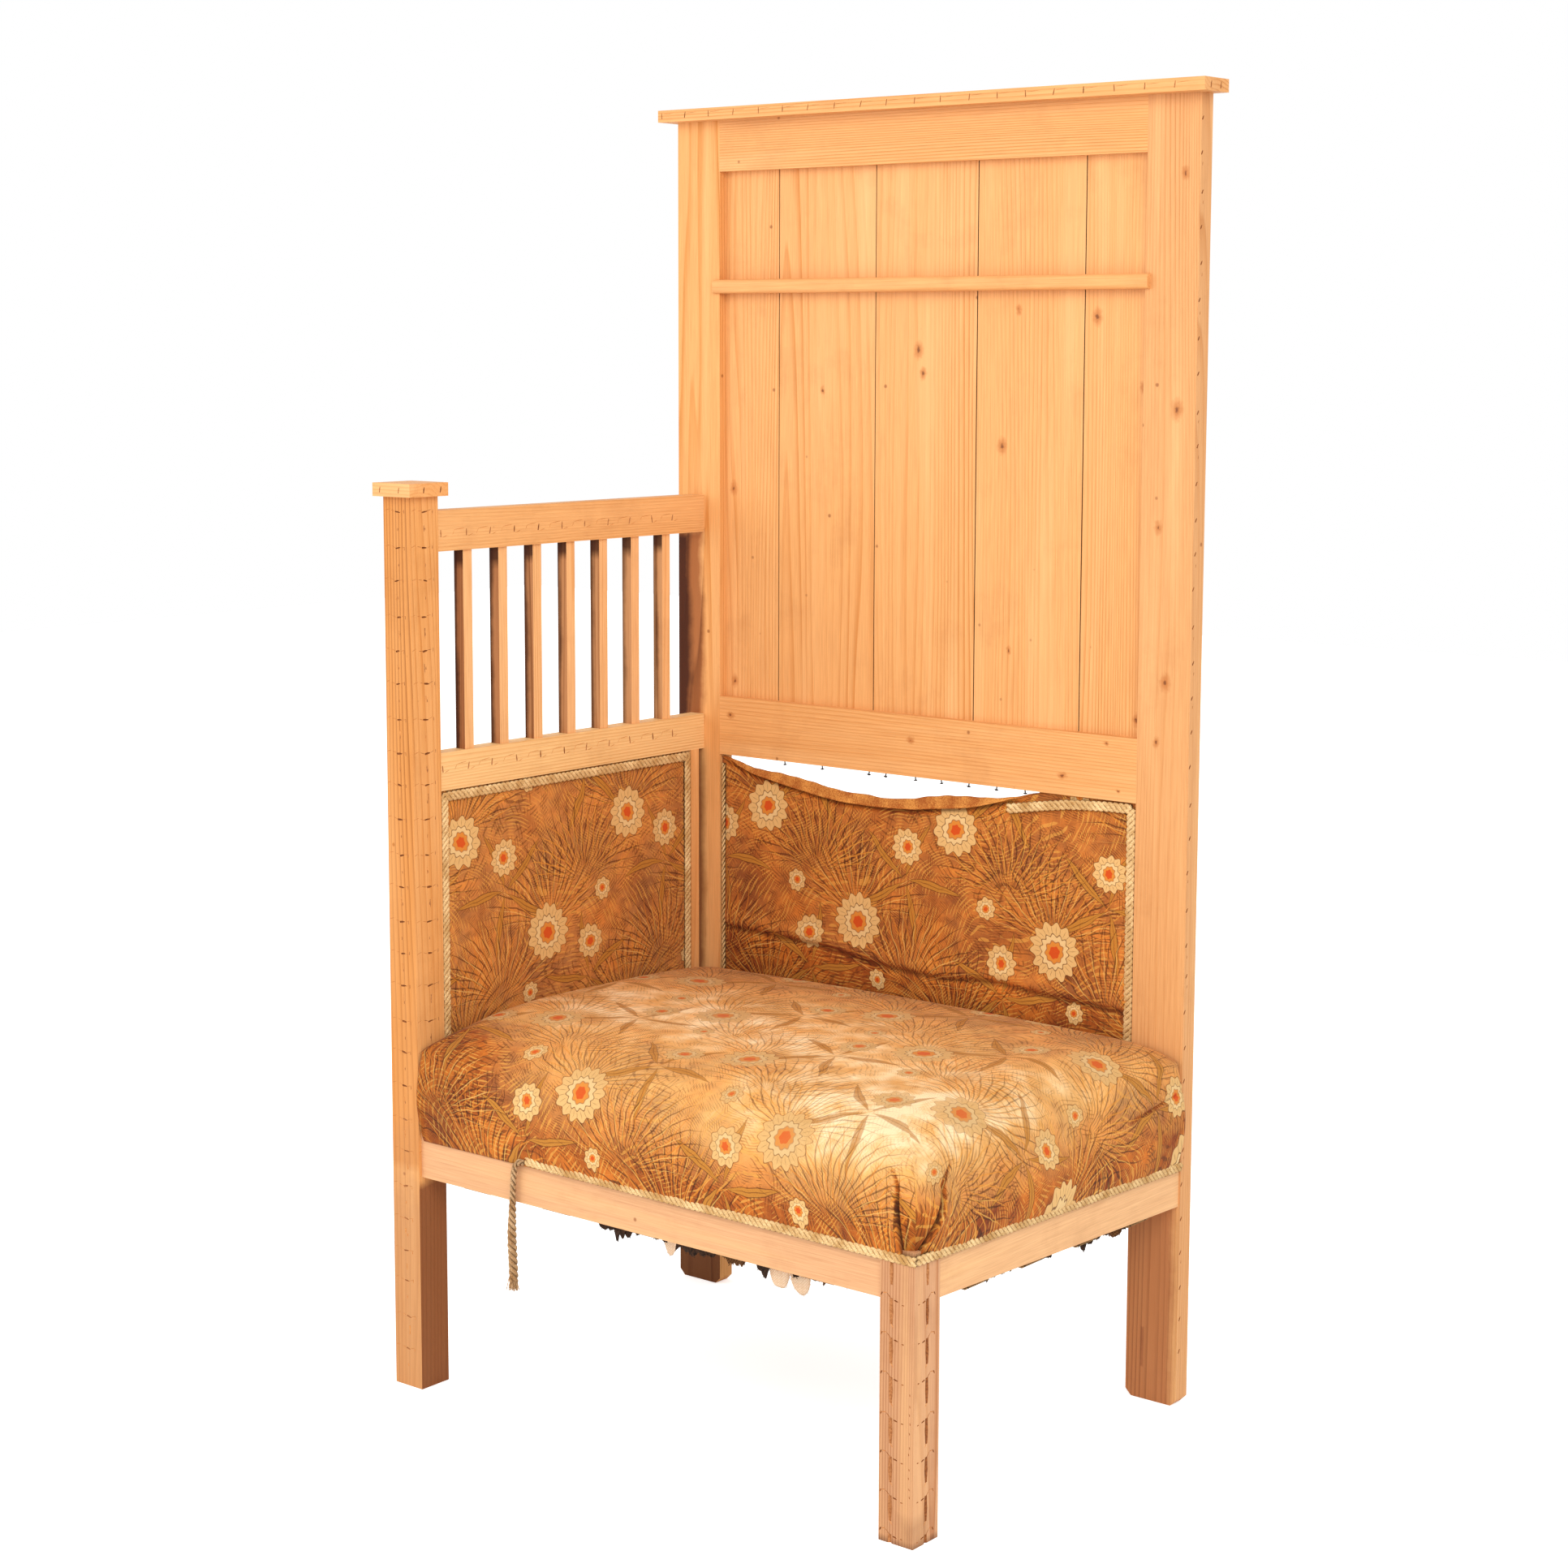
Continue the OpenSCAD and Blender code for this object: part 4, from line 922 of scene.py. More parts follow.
@dataclass(frozen=True)
class Studio:
    """The camera, a pale floor and soft daylight; places in metres, angles in degrees."""

    place: Point = (2.37779, -2.95576, 1.43106)
    yaw: float = 38.9221
    pitch: float = 7.2263
    roll: float = 0.1409
    lens: float = 65.866
    shift: float = -0.05
    aim: Point = (0, 0, 0.8)
    floor_reach: float = 9000.0
    floor_glow: float = 0.55
    sky_glow: float = 0.85

    def camera(self) -> None:
        """Sets the camera where the photographer stood."""
        lens = bpy.data.cameras.new("camera")
        lens.lens, lens.sensor_width, lens.shift_y = self.lens, 36.0, self.shift
        stand = bpy.data.objects.new("camera", lens)
        turn = Matrix.Translation(self.place)
        for angle, axis in ((self.yaw, "Z"), (90 - self.pitch, "X"), (self.roll, "Z")):
            turn = turn @ Matrix.Rotation(math.radians(angle), 4, axis)
        stand.matrix_world = turn
        bpy.context.scene.collection.objects.link(stand)
        bpy.context.scene.camera = stand

    def lamp(self, name: str, place: Point, size: float, power: float) -> None:
        """Hangs one square soft box that faces the settle's middle.

        Args:
            name: the lamp's name.
            place: where it hangs.
            size: its side, in metres.
            power: its power, in watts.
        """
        data = bpy.data.lights.new(name, "AREA")
        data.size, data.energy = size, power
        made = bpy.data.objects.new(name, data)
        turn = (Vector(self.aim) - Vector(place)).to_track_quat("-Z", "Y").to_matrix().to_4x4()
        made.matrix_world = Matrix.Translation(place) @ turn
        bpy.context.scene.collection.objects.link(made)

    def floor(self) -> None:
        """Lays a pale floor that stays pale where the camera sees it."""
        corners = np.array(((-1, -1, 0), (1, -1, 0), (1, 1, 0), (-1, 1, 0))) * self.floor_reach
        floor = add_mesh("floor", corners - (0, 0, 0.5), [(0, 1, 2, 3)], smooth=False)
        paint = Plain("painted_floor", 0.8, light="#FFFFFF", dark="#FDFDFD", patch=2.0).build()
        shader = next(n for n in paint.node_tree.nodes if n.type == "BSDF_PRINCIPLED").inputs
        seen = add_node(paint.node_tree, "LightPath", out="Is Camera Ray")
        glow = Paint(paint.node_tree).math("MULTIPLY", seen, self.floor_glow)
        paint.node_tree.links.new(glow, shader["Emission Strength"])
        shader["Emission Color"].default_value = linear("#FFFFFF")
        floor.data.materials.append(paint)
        floor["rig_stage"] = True

    def build(self) -> None:
        """Sets the camera, the floor, the sky and the lamps."""
        scene = bpy.context.scene
        scene.view_settings.view_transform = "Standard"
        self.camera()
        self.floor()
        scene.world = bpy.data.worlds.new("studio")
        scene.world.use_nodes = True
        tree = scene.world.node_tree
        back = tree.nodes["Background"].inputs
        seen = add_node(tree, "LightPath", out="Is Camera Ray")
        tree.links.new(Paint(tree).fade(seen, 0.0, 1.0, self.sky_glow, 1.0), back["Strength"])
        back["Color"].default_value = linear("#FFFFFF")
        self.lamp("key", (2.6, -2.6, 2.9), 2.2, 95)
        self.lamp("fill", (-2.4, -3.0, 2.0), 2.4, 45)


# Wood

KNOTS_BOARD = {1: ((96, 14, 1216, 7.0), (98, 14, 930, 6.0)),
               2: ((262, 14, 1362, 4.0),),
               3: ((432, 14, 1420, 8.0), (440, 14, 1388, 6.0)),
               4: ((575, 14, 1290, 8.0), (590, 14, 1010, 4.0), (600, 14, 1475, 5.0)),
               5: ((726, 14, 1465, 8.0), (800, 14, 1372, 6.0), (798, 14, 930, 6.0))}
KNOTS_RAIL = ((101, 0, 880, 5.0), (434, 0, 872, 5.0), (690, 0, 846, 5.0), (760, 0, 897, 3.0),
              (780, 0, 834, 2.5))
KNOTS_STILE = ((860, 0, 1345, 9.0), (850, 0, 985, 8.0), (835, 0, 1190, 6.0), (866, 0, 1648, 6.0),
               (838, 0, 905, 5.0))
RAIL = Pine("pine_rail", grain=Grain.ACROSS)
# The arm's rear stile's back face, in the narrow gap to the back's left stile, takes painted shade; the corner
# blocks share this pine.
UPRIGHT = Pine("pine_upright", gloss=0.08, stains_and_shade=(
    StainAndShade((-40, -80, 300), (90, 40, 900), "#3A1507", 0.95, facing=(0, 1, 0)),))
TIMBERS = {
    "back_stile_left": Pine("pine_left_stile", gloss=0.1, stains_and_shade=(
        # Its front face beside the arm, up to the arm's top rail, is browner, and darkest near its left edge.
        StainAndShade((-40, -40, 300), (56, 40, 1160), "#8A4218", 0.8),
        StainAndShade((-40, -40, 300), (30, 40, 1156), "#3A1507", 0.92),
        # Its foot below the seat rail takes painted shade under the seat.
        StainAndShade((-40, -40, -40), (110, 60, 310), "#5E3018", 0.92))),
    "back_top_rail": RAIL,
    "back_mid_rail": Pine("pine_middle_rail", grain=Grain.ACROSS, knots=KNOTS_RAIL),
    "back_seat_rail": RAIL,
    "plate_rail": RAIL,
    "arm_rear_stile": UPRIGHT,
    "corner_blocks": UPRIGHT,
    # The front rail's darker, duller pine is old stain with painted shade under the seat's front.
    "seat_front_rail": Pine("pine_front_rail", 0.55, grain=Grain.ACROSS, spring="#E2AC7C", summer="#C28358",
                            figure=0.35),
    "seat_side_rail_left": Pine("pine_arm_rail", grain=Grain.DEEP),
    "seat_side_rail_right": Pine("pine_side_rail", 0.55, grain=Grain.DEEP, spring="#EEBA84", summer="#D0905E",
                                 figure=0.35),
}


def board(number: int) -> Pine:
    """The pine of one back board, with dirt and painted shade darkening the seams to its neighbours.

    Args:
        number: the board's number, from the left.

    Returns:
        The finish.
    """
    low, high, right = (-40, -40, 850), (930, 60, 1720), 0.95 if number > 2 else 0.5
    # Both side faces, in the seams between boards, take dirt and painted shade.
    return Pine(f"pine_board_{number}", knots=KNOTS_BOARD[number], stains_and_shade=(
        StainAndShade(low, high, "#43200E", 0.95, facing=(-1, 0, 0)),
        StainAndShade(low, high, "#43200E", right, facing=RIGHT)))


def spindle(number: int) -> Pine:
    """The pine of one arm spindle: its front face browned by old stain and painted shade, with painted shade
    darker on its left half and round its head.

    Args:
        number: the spindle's number; the brown and the painted shade on its left half are fainter with each.

    Returns:
        The finish.
    """
    left, low, high = 0.96 - 0.05 * number, (-40, -600, 780), (99, 40, 1300)
    return Pine(f"pine_spindle_{number}", gloss=0.06, spring="#F0BC84", summer="#DC9C5C", stains_and_shade=(
        # Front face: old stain with painted shade; then painted shade on its left half, where the spindle
        # ahead shades it, and under the arm's top rail.
        StainAndShade(low, high, "#8A4A22", 0.9 * left),
        StainAndShade(low, (37.5, 40, 1300), "#2E0D02", left, 7.0),
        StainAndShade((-40, -600, 1122), high, "#2E0D02", 0.85)))


@dataclass
class Timber:
    """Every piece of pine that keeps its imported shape, with its arrises worn round."""

    nodes: dict[str, bpy.types.Object]

    def build(self) -> None:
        """Rounds and dresses the kept nodes."""
        pines = {}
        for name in self.nodes:
            if name.startswith("back_board"):
                pines[name] = board(int(name[-1]))
            if name.startswith("arm_spindle"):
                pines[name] = spindle(int(name[-1]))
        for name, pine in {**pines, **TIMBERS}.items():
            round_arrises(self.nodes[name])
            dress(self.nodes[name], pine, "pine")


@dataclass(frozen=True)
class Cut:
    """A knife or gouge cut: a V trough that starts a little proud of the face it is cut in.

    "at" is its middle on the face, in mm; it runs "along" and faces "out"; "narrow" is its width at the far
    end, as a share of "wide".
    """

    at: Point
    along: Point
    out: Point
    length: float
    wide: float
    deep: float
    narrow: float = 1.0
    tone: Tone = Tone.GOUGED

    def mesh(self) -> Mesh:
        """The cutter.

        Returns:
            Its points and its eight faces.
        """
        a, n = unit(np.array(self.along, float)), unit(np.array(self.out, float))
        side = np.cross(a, n)
        points = []
        for place, share in ((-0.5, 1.0), (0.0, 1 + (self.narrow - 1) / 2), (0.5, self.narrow)):
            full, sunk = (0.75, 0.55) if place else (1.0, 1.0)
            middle = np.array(self.at, float) + a * place * self.length
            half = side * (self.wide * share / 2 * full) * 1.3
            points += [middle - half + n * 0.6, middle + half + n * 0.6, middle - n * (self.deep * sunk)]
        return np.array(points), [(0, 1, 4, 3), (1, 2, 5, 4), (2, 0, 3, 5), (3, 4, 7, 6), (4, 5, 8, 7),
                                  (5, 3, 6, 8), (2, 1, 0), (6, 7, 8)]


@dataclass(frozen=True)
class Face:
    """A place on a face of the wood, in mm, with the way that its pattern steps and the way it faces."""

    at: Point
    step: Point
    out: Point

    @classmethod
    def front(cls, x: float, y: float, z: float) -> "Face":
        """A place on a face that looks forward, stepping to the right."""
        return cls((x, y, z), RIGHT, FRONT)

    @classmethod
    def side(cls, x: float, y: float, z: float, way: int = 1) -> "Face":
        """A place on a face that looks right, stepping to the back, or to the front where "way" is -1."""
        return cls((x, y, z), (0, way, 0), RIGHT)

    def spot(self, aside: float, up: float) -> np.ndarray:
        """The place so many mm along the step and above."""
        return np.array(self.at, float) + np.array(self.step, float) * aside + (0, 0, up)

    def cut(self, aside: float, up: float, lean: tuple[float, float], *size: float,
            tone: Tone = Tone.GOUGED) -> Cut:
        """One cut in this face.

        Args:
            aside: how far along the step its middle lies, in mm.
            up: how far above, in mm.
            lean: the way it runs, along the step and upward.
            size: its length, width and depth in mm, and how much it narrows.
            tone: how dirty it is.

        Returns:
            The cut.
        """
        run = np.array(self.step, float) * lean[0] + (0, 0, lean[1])
        return Cut(self.spot(aside, up), run, self.out, *size, tone=tone)


@dataclass
class CarvedPiece:
    """A piece of pine with cuts in its faces, which takes the place of the plain packed one."""

    node: bpy.types.Object
    finish: Finish
    cuts: list[Cut] = field(default_factory=list)

    def build(self) -> None:
        """Rounds the arrises, makes the cuts and shows the result in the node's place."""
        name = self.node.name
        made = bpy.data.objects.new(name + "_carved", self.node.data.copy())
        bpy.context.scene.collection.objects.link(made)
        made.data.materials.clear()
        made.data.materials.append(self.finish.build())
        round_arrises(made)
        points, faces = join(cut.mesh() for cut in self.cuts)
        cutter = add_mesh(name + "_cutter", points, faces, smooth=False)
        tones = list(Tone)
        for tone in tones:
            cutter.data.materials.append(tone.value.build())
        kinds = np.repeat([tones.index(cut.tone) for cut in self.cuts], len(faces) // len(self.cuts))
        cutter.data.polygons.foreach_set("material_index", kinds.astype(np.int32))
        carve = made.modifiers.new("cuts", "BOOLEAN")
        carve.operation, carve.object, carve.use_self = "DIFFERENCE", cutter, True
        carve.solver, carve.material_mode = "EXACT", "TRANSFER"
        seen = made.evaluated_get(bpy.context.evaluated_depsgraph_get())
        made.data = bpy.data.meshes.new_from_object(seen)
        made.modifiers.clear()
        bpy.data.objects.remove(cutter)
        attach(made, "root")
        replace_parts(made, name)
        log.info("%s: %d cuts", made.name, len(self.cuts))


@dataclass
class Carving:
    """The chip-carved ornament, which repeats at the steps below; all places in mm."""

    nodes: dict[str, bpy.types.Object]
    post_step: float = 46.0
    leg_step: float = 48.7
    rail_step: float = 47.3
    cap_step: float = 46.0
    stile_step: float = 47.0

    def post(self) -> list[Cut]:
        """A dark chip with faint wings at each step of the post's outer faces, and worn strokes between.

        Returns:
            The cuts.
        """
        cuts = []
        rng = np.random.default_rng(7)
        for k in range(26):
            z = 1205 - self.post_step * k + rng.uniform(-2.5, 2.5)
            x, y = 25.5 + rng.uniform(-2, 2), -575 + rng.uniform(-2, 2)
            soft, chip = (Tone.GOUGED, Tone.DEEP) if z > 420 else (Tone.SCRATCHED, Tone.GOUGED)
            for face in (Face.front(x, -600, z), Face.side(51, y, z)):
                lean = rng.uniform(-0.25, 0.25)
                inner = face.out == RIGHT
                if inner and z < 310:
                    continue
                cuts += [face.cut(rng.uniform(-1, 2), -23, (0, 1), 4, 2.0, 1.2, 0.7, tone=soft),
                         face.cut(0, 0, (1, lean), rng.uniform(7, 10), rng.uniform(2.6, 4.2), 2.0, 0.5,
                                  tone=chip)]
                for end in (-1, 1):
                    cuts.append(face.cut(end * rng.uniform(8, 9.5), rng.uniform(0.5, 2),
                                         (end, rng.uniform(0.1, 0.4)), rng.uniform(6, 9), 1.2, 0.8, 0.6,
                                         tone=self.chance(rng, 0.5 * inner)))
                cuts += [face.cut(15 if inner else 12, rng.uniform(-1, 2), (0, 1), 5, 1.7, 1.1, 0.7,
                                  tone=soft),
                         face.cut(-20, 2.5, (1, 0.3), 8, 1.3, 0.8, 0.7, tone=Tone.SCRATCHED)]
                if rng.random() < (0.75 if inner else 0.5):
                    at = face.spot(rng.uniform(-2, 2), -rng.uniform(18, 24))
                    run = (rng.uniform(-0.1, 0.1), rng.uniform(-0.1, 0.1), -1)
                    cuts.append(Cut(at, run, face.out, rng.uniform(8, 15), rng.uniform(2.0, 3.4), 1.2, 0.4,
                                    self.chance(rng, 0.6 * inner)))
        return cuts

    @staticmethod
    def chance(rng: np.random.Generator, share: float, yes: Tone = Tone.GOUGED,
               no: Tone = Tone.SCRATCHED) -> Tone:
        """One of two tones by chance; nothing is drawn from rng where the share is 0."""
        return yes if share and rng.random() < share else no

    def leg(self) -> list[Cut]:
        """Upright gouges down the leg's outer faces, each hung from a wavy line with a dot at its end.

        Returns:
            The cuts.
        """
        rng = np.random.default_rng(5)
        cuts = [face.cut(0, 0, (0, -1), 30, 6.4, 2.6, 0.8)
                for face in (Face.front(854, -600, 336), Face.side(888, -574, 336))]
        for z in np.arange(62, 200, 13.0):
            dot = Face.front(882 + rng.uniform(-1, 1), -600, z + rng.uniform(-3, 3))
            cuts.append(dot.cut(0, 0, (0.2, -1), 3, 2.0, 1.1, 0.8))
        for k in range(-1, 6):
            z = 254 - self.leg_step * k + rng.uniform(-1, 1)
            for face, deep in ((Face.front(854, -600, z), Tone.GOUGED),
                               (Face.side(888, -574, z, -1), Tone.DEEP)):
                cuts += [face.cut(0, -15, (0, -1), 32, 6.8, 2.8, 0.8, tone=deep),
                         face.cut(1.5, -33, (0.7, -1), 7, 2.2, 0.9, 0.4, tone=Tone.SCRATCHED),
                         face.cut(-3.5, 3, (-1, 0.9), 9, 2.0, 1.2, 0.5),
                         face.cut(-10, 6, (-1, -0.15), 6, 1.5, 0.9, 0.8, tone=Tone.SCRATCHED),
                         face.cut(-14.5, 4, (-0.5, -1), 4.5, 2.6, 1.6, 0.6,
                                  tone=Tone.DEEP if k % 2 else Tone.GOUGED),
                         face.cut(7, -1.5, (1, -0.2), 6, 2.4, 1.6, 0.8, tone=Tone.DEEP),
                         face.cut(17, -3 + rng.uniform(-2, 2), (1, 0), 3.4, 2.2, 1.3, 0.8)]
        return cuts

    def arm_rail(self, z: float) -> list[Cut]:
        """A tick at each step of an arm rail's inner face, with faint bows between.

        Args:
            z: how high the ticks lie, in mm, which also seeds their unevenness.

        Returns:
            The cuts.
        """
        cuts = []
        rng = np.random.default_rng(int(z))
        for k in range(11):
            face = Face.side(49, -543 + self.rail_step * k + rng.uniform(-2, 2), z)
            cuts += [face.cut(0, 0, (rng.uniform(-0.2, 0.3), 1), rng.uniform(8, 11), 3.2, 1.8, 0.6,
                              tone=self.chance(rng, 0.35, Tone.DEEP, Tone.GOUGED)),
                     face.cut(-13, 5, (1, 0.1), 17, 1.2, 0.7, 1.0, tone=Tone.SCRATCHED),
                     face.cut(-24, 1, (0.6, 1), 8, 1.2, 0.7, 1.0, tone=Tone.SCRATCHED),
                     face.cut(8, -4, (1, 0.3), 8, 1.4, 0.8, 0.6, tone=Tone.SCRATCHED)]
        return cuts

    def cap(self) -> list[Cut]:
        """Ticks across the cornice cap's front edge and its end.

        Returns:
            The cuts.
        """
        cuts = []
        rng = np.random.default_rng(31)
        for k in range(20):
            face = Face.front(-12 + self.cap_step * k + rng.uniform(-1.5, 1.5), -24, 1759)
            cuts += [face.cut(0, 0, (rng.uniform(-0.1, 0.3), 1), 9, 2.4, 1.5, 0.7,
                              tone=self.chance(rng, 0.3, Tone.DEEP, Tone.GOUGED)),
                     face.cut(12, 2.5, (1, 0.05), 18, 1.0, 0.7, 0.6, tone=Tone.SCRATCHED)]
        ends = [Face.side(906, y, 1758) for y in (-8, 16)]
        return cuts + [face.cut(0, 0, (0.2, 1), 9, 3.0, 1.8, 0.7, tone=Tone.DEEP) for face in ends]

    def stile(self) -> list[Cut]:
        """Nicks down the right stile's outer edge.

        Returns:
            The cuts.
        """
        cuts = []
        rng = np.random.default_rng(3)
        for k in range(36):
            z = 1720 - self.stile_step * k + rng.uniform(-3, 3)
            face = Face.side(888, 5 + rng.uniform(-2.5, 2), z)
            cuts.append(face.cut(0, 0, (0.7, 1), 6.5, 3.4, 2.0, 0.6, tone=Tone.DEEP))
            if rng.random() < 0.55:
                cuts.append(face.cut(2, -rng.uniform(11, 17), (0.2, 1), 4.5, 2.0, 1.2, 0.7))
        return cuts

    def post_cap(self) -> list[Cut]:
        """Two ticks on each outer face of the post's cap.

        Returns:
            The cuts.
        """
        fronts = [Face.front(x, -610, 1235) for x in (4, 40)]
        sides = [Face.side(61, y, 1235) for y in (-584, -553)]
        return ([face.cut(0, 0, (0.2, 1), 8, 2.6, 1.6, 0.7) for face in fronts]
                + [face.cut(0, 0, (0.2, 1), 8, 3.0, 1.8, 0.7, tone=Tone.DEEP) for face in sides])

    def build(self) -> None:
        """Carves each piece that has ornament."""
        post = Pine("pine_post", 0.55, gloss=0.12, spring="#E5A462", summer="#C2762F", stains_and_shade=(
            StainAndShade((-40, -640, 300), (90, -560, 1300), "#C6762C", 0.5),
            StainAndShade((-260, -900, -300), (360, -420, 420), "#A06C4E", 0.42, 130.0),
            # Its right face below the seat rail takes painted shade under the seat.
            StainAndShade((10, -640, -40), (90, -500, 302), "#7C3F22", 0.84, facing=RIGHT)))
        leg = Pine("pine_leg", 0.6, spring="#D8A276", summer="#B4703D", dirt="#8C4F26", stains_and_shade=(
            StainAndShade((700, -700, -60), (1000, -560, 420), "#A4683E", 0.26),
            StainAndShade((858, -640, -30), (905, -560, 44), "#7A4A2A", 0.34, 22.0, (0.8, -0.8, 0)),
            StainAndShade((800, -640, -30), (925, -500, 9), "#5E341C", 0.6, 9.0, (0.8, -0.8, 0))))
        upper = Pine("pine_arm_rail_top", grain=Grain.DEEP, spring="#EBB376", summer="#D28F4B")
        # A paler copy of the arm rail's pine: painted light on the middle rail.
        lower = Pine("pine_arm_rail_middle", grain=Grain.DEEP, spring="#F6CA8C", summer="#DB9D55",
                     dirt="#B57A42")
        cap = Pine("pine_cap", grain=Grain.ACROSS)
        stile = Pine("pine_right_stile", spring="#E1A469", summer="#C77E3D", knots=KNOTS_STILE, stains_and_shade=(
            # Its front face below the seat takes painted shade under the seat.
            StainAndShade((760, -40, -40), (886, 40, 318), "#A65A2E", 0.7),
            StainAndShade((830, -40, 44), (837, 40, 102), "#7E3E20", 0.55, 3.6)))
        for name, finish, cuts in (("arm_post", post, self.post()), ("front_leg", leg, self.leg()),
                                   ("arm_top_rail", upper, self.arm_rail(1175)),
                                   ("arm_mid_rail", lower, self.arm_rail(856)),
                                   ("cornice_cap", cap, self.cap()), ("arm_post_cap", cap, self.post_cap()),
                                   ("back_stile_right", stile, self.stile())):
            CarvedPiece(self.nodes[name], finish, cuts).build()


# Braid


@dataclass(frozen=True)
class Gimp:
    """A flat gimp braid of three strands twisted round each other, glued along a line; sizes in mm."""

    wide: float
    thick: float = 4.6
    pitch: float = 26.0

    def strands(self, path: Sequence[Point], out: Point) -> tuple[np.ndarray, list, np.ndarray]:
        """The three strands along a path.

        Args:
            path: the corners of the braid's own line, in mm.
            out: the direction that its flat side faces.

        Returns:
            Points, faces, and how far each point is tucked under its neighbours, from 0 to 1, which the braid
            takes as painted shade.
        """
        line = resample(path, 1.8)
        face = np.broadcast_to(unit(np.array(out, float)), line.shape)
        across = unit(np.cross(unit(np.gradient(line, axis=0)), face))
        strand = self.wide * 0.21
        sway, lift = self.wide / 2 - strand, self.thick / 2 - strand * 0.4
        parts, tucks = [], []
        for k in range(3):
            turn = 2 * np.pi * distance(line) / self.pitch + 2 * np.pi * k / 3
            own = line + across * (np.sin(turn) * sway)[:, None] + face * (np.cos(turn) * lift)[:, None]
            parts.append(tube(own, strand * (0.8 + 0.2 * np.cos(turn)), strand * 0.7, face, 8))
            off = parts[k][0].reshape(len(line), 8, 3) - line[:, None]
            above = (off * face[:, None]).sum(2) / (self.thick / 2)
            tucks.append(np.clip(1.08 - above * 1.55, 0, 1).ravel())
        return (*join(parts), np.concatenate(tucks))


@dataclass
class Braids:
    """All the braid that is still fixed: round the seat, the back and the arm; heights and places in mm."""

    foot: float = 356.8
    loose_to: float = 252.0

    def paths(self) -> dict[str, tuple[list[list[Point]], Point, float]]:
        """Each node's lines, the way it faces and its width.

        Returns:
            Lines, direction and width by the node's name.
        """
        side = [(890.2, y, self.foot - SIZE.drop(y)) for y in np.linspace(-599.6, -2, 12)]
        front = [(self.loose_to, -599.6, self.foot + 4)]
        front += [(x, -599.6, self.foot + 3 - 5 * (x - self.loose_to) / 640)
                  for x in np.linspace(300, 890, 9)]
        corner = [(600, 1.6, 791), (640, 1.6, 798), (700, 2.4, 807), (760, 3.2, 810.5), (799, 3.4, 811)]
        arm = [(48.2, -541, 424), (48.2, -541, 817.6), (48.2, -38, 817.6), (48.2, -38, 424)]
        return {
            "braid_seat_front": ([front], FRONT, 15.4),
            "braid_seat_side": ([side], RIGHT, 15.0),
            "braid_back_left": ([[(85, 3.4, 424), (85, 3.4, 806)]], FRONT, 8.0),
            "braid_back_right": ([[(799.6, 3.4, 424), (799.6, 3.4, 811)], corner], FRONT, 16.4),
            "braid_arm": ([arm], RIGHT, 15.8),
        }

    def build(self) -> None:
        """Lays each braid."""
        for name, (lines, out, wide) in self.paths().items():
            laid = [Gimp(wide).strands(line, out) for line in lines]
            tucks = np.concatenate([run[2] for run in laid])
            made = add_mesh(name + "_twisted", *join(run[:2] for run in laid), wear=tucks)
            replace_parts(dress(made, GIMP, "braid"), name)


@dataclass
class LooseBraid:
    """The end of the seat's front braid, which hangs down loose in front of the rail; sizes in mm."""

    start: Point = (252.0, -601.7, 358.5)
    route: tuple[Point, ...] = ((0, 0, 0), (-5, 0, 0), (-10, 0, -1), (-14, 0, -4), (-17, 0, -8),
                                (-19, 0, -14), (-20, 0, -22), (-21, 0, -34), (-22, 0, -50), (-23, 0, -70),
                                (-24, 0, -92), (-24, 0, -114), (-23, 0, -134), (-22, 0, -152), (-22, 0, -166))
    radius: float = 6.4
    lay: float = 27.0
    lobe: float = 2.9
    lobe_off: float = 3.5
    threads: int = 90

    def twist(self, line: np.ndarray) -> tuple[np.ndarray, list, np.ndarray]:
        """Twists three lobes round a line, more open towards its end.

        Args:
            line: the cord's middle line.

        Returns:
            Points, faces, and how deep between the lobes each point lies, from 0 to 1, which the cord takes as
            painted shade.
        """
        along = distance(line)
        face = np.broadcast_to(np.array(FRONT, float), line.shape)
        across = unit(np.cross(unit(np.gradient(line, axis=0)), face))
        loose = 0.68 + 0.32 * np.clip((along - 55) / 60, 0, 1)
        parts = []
        for k in range(3):
            turn = 2 * np.pi * along / self.lay + 2 * np.pi * k / 3
            out = loose * (1 + 0.12 * ripple(along / 9, 40 + k))
            sway = across * (np.cos(turn) * out)[:, None] + face * (np.sin(turn) * out)[:, None]
            own = line + sway * self.lobe_off
            parts.append(tube(own, self.lobe * loose, self.lobe * loose, face, 10))
        points, faces = join(parts)
        off = np.linalg.norm(points.reshape(3, len(line), 10, 3) - line[None, :, None], axis=3)
        return points, faces, np.clip(1.25 - off / (5.2 * loose[None, :, None]), 0, 1).ravel() ** 0.7

    def fray(self, end: np.ndarray) -> Mesh:
        """The loose threads at the cord's end.

        Args:
            end: where the cord ends.

        Returns:
            Their points and faces.
        """
        rng = np.random.default_rng(11)
        threads = []
        for _ in range(self.threads):
            lean = rng.normal(0, 0.08, 2)
            line = [end + np.array((lean[0] * (s + 26), lean[1] * (s + 26), -s)) + rng.normal(0, 0.4, 3)
                    for s in np.linspace(-rng.uniform(6, 18), rng.uniform(8, 13), 5)]
            threads.append(tube(np.array(line), 0.6, 0.6, FRONT, 4))
        return join(threads)

    def build(self) -> None:
        """Makes the cord and its frayed end."""
        line = resample([tuple(np.array(self.start) + step) for step in self.route], 1.5)
        points, faces, tucks = self.twist(line)
        cord = dress(add_mesh("braid_loose_twist", points, faces, wear=tucks), CORD, "braid")
        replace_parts(cord, "braid_loose_end")
        fray = dress(add_mesh("braid_loose_fray", *self.fray(line[-1])), CORD, "braid")


# Upholstery

Line = tuple[tuple[float, float], ...]
WAYS = np.array(((0, -1), (1, 0), (0, 1), (-1, 0)), float)


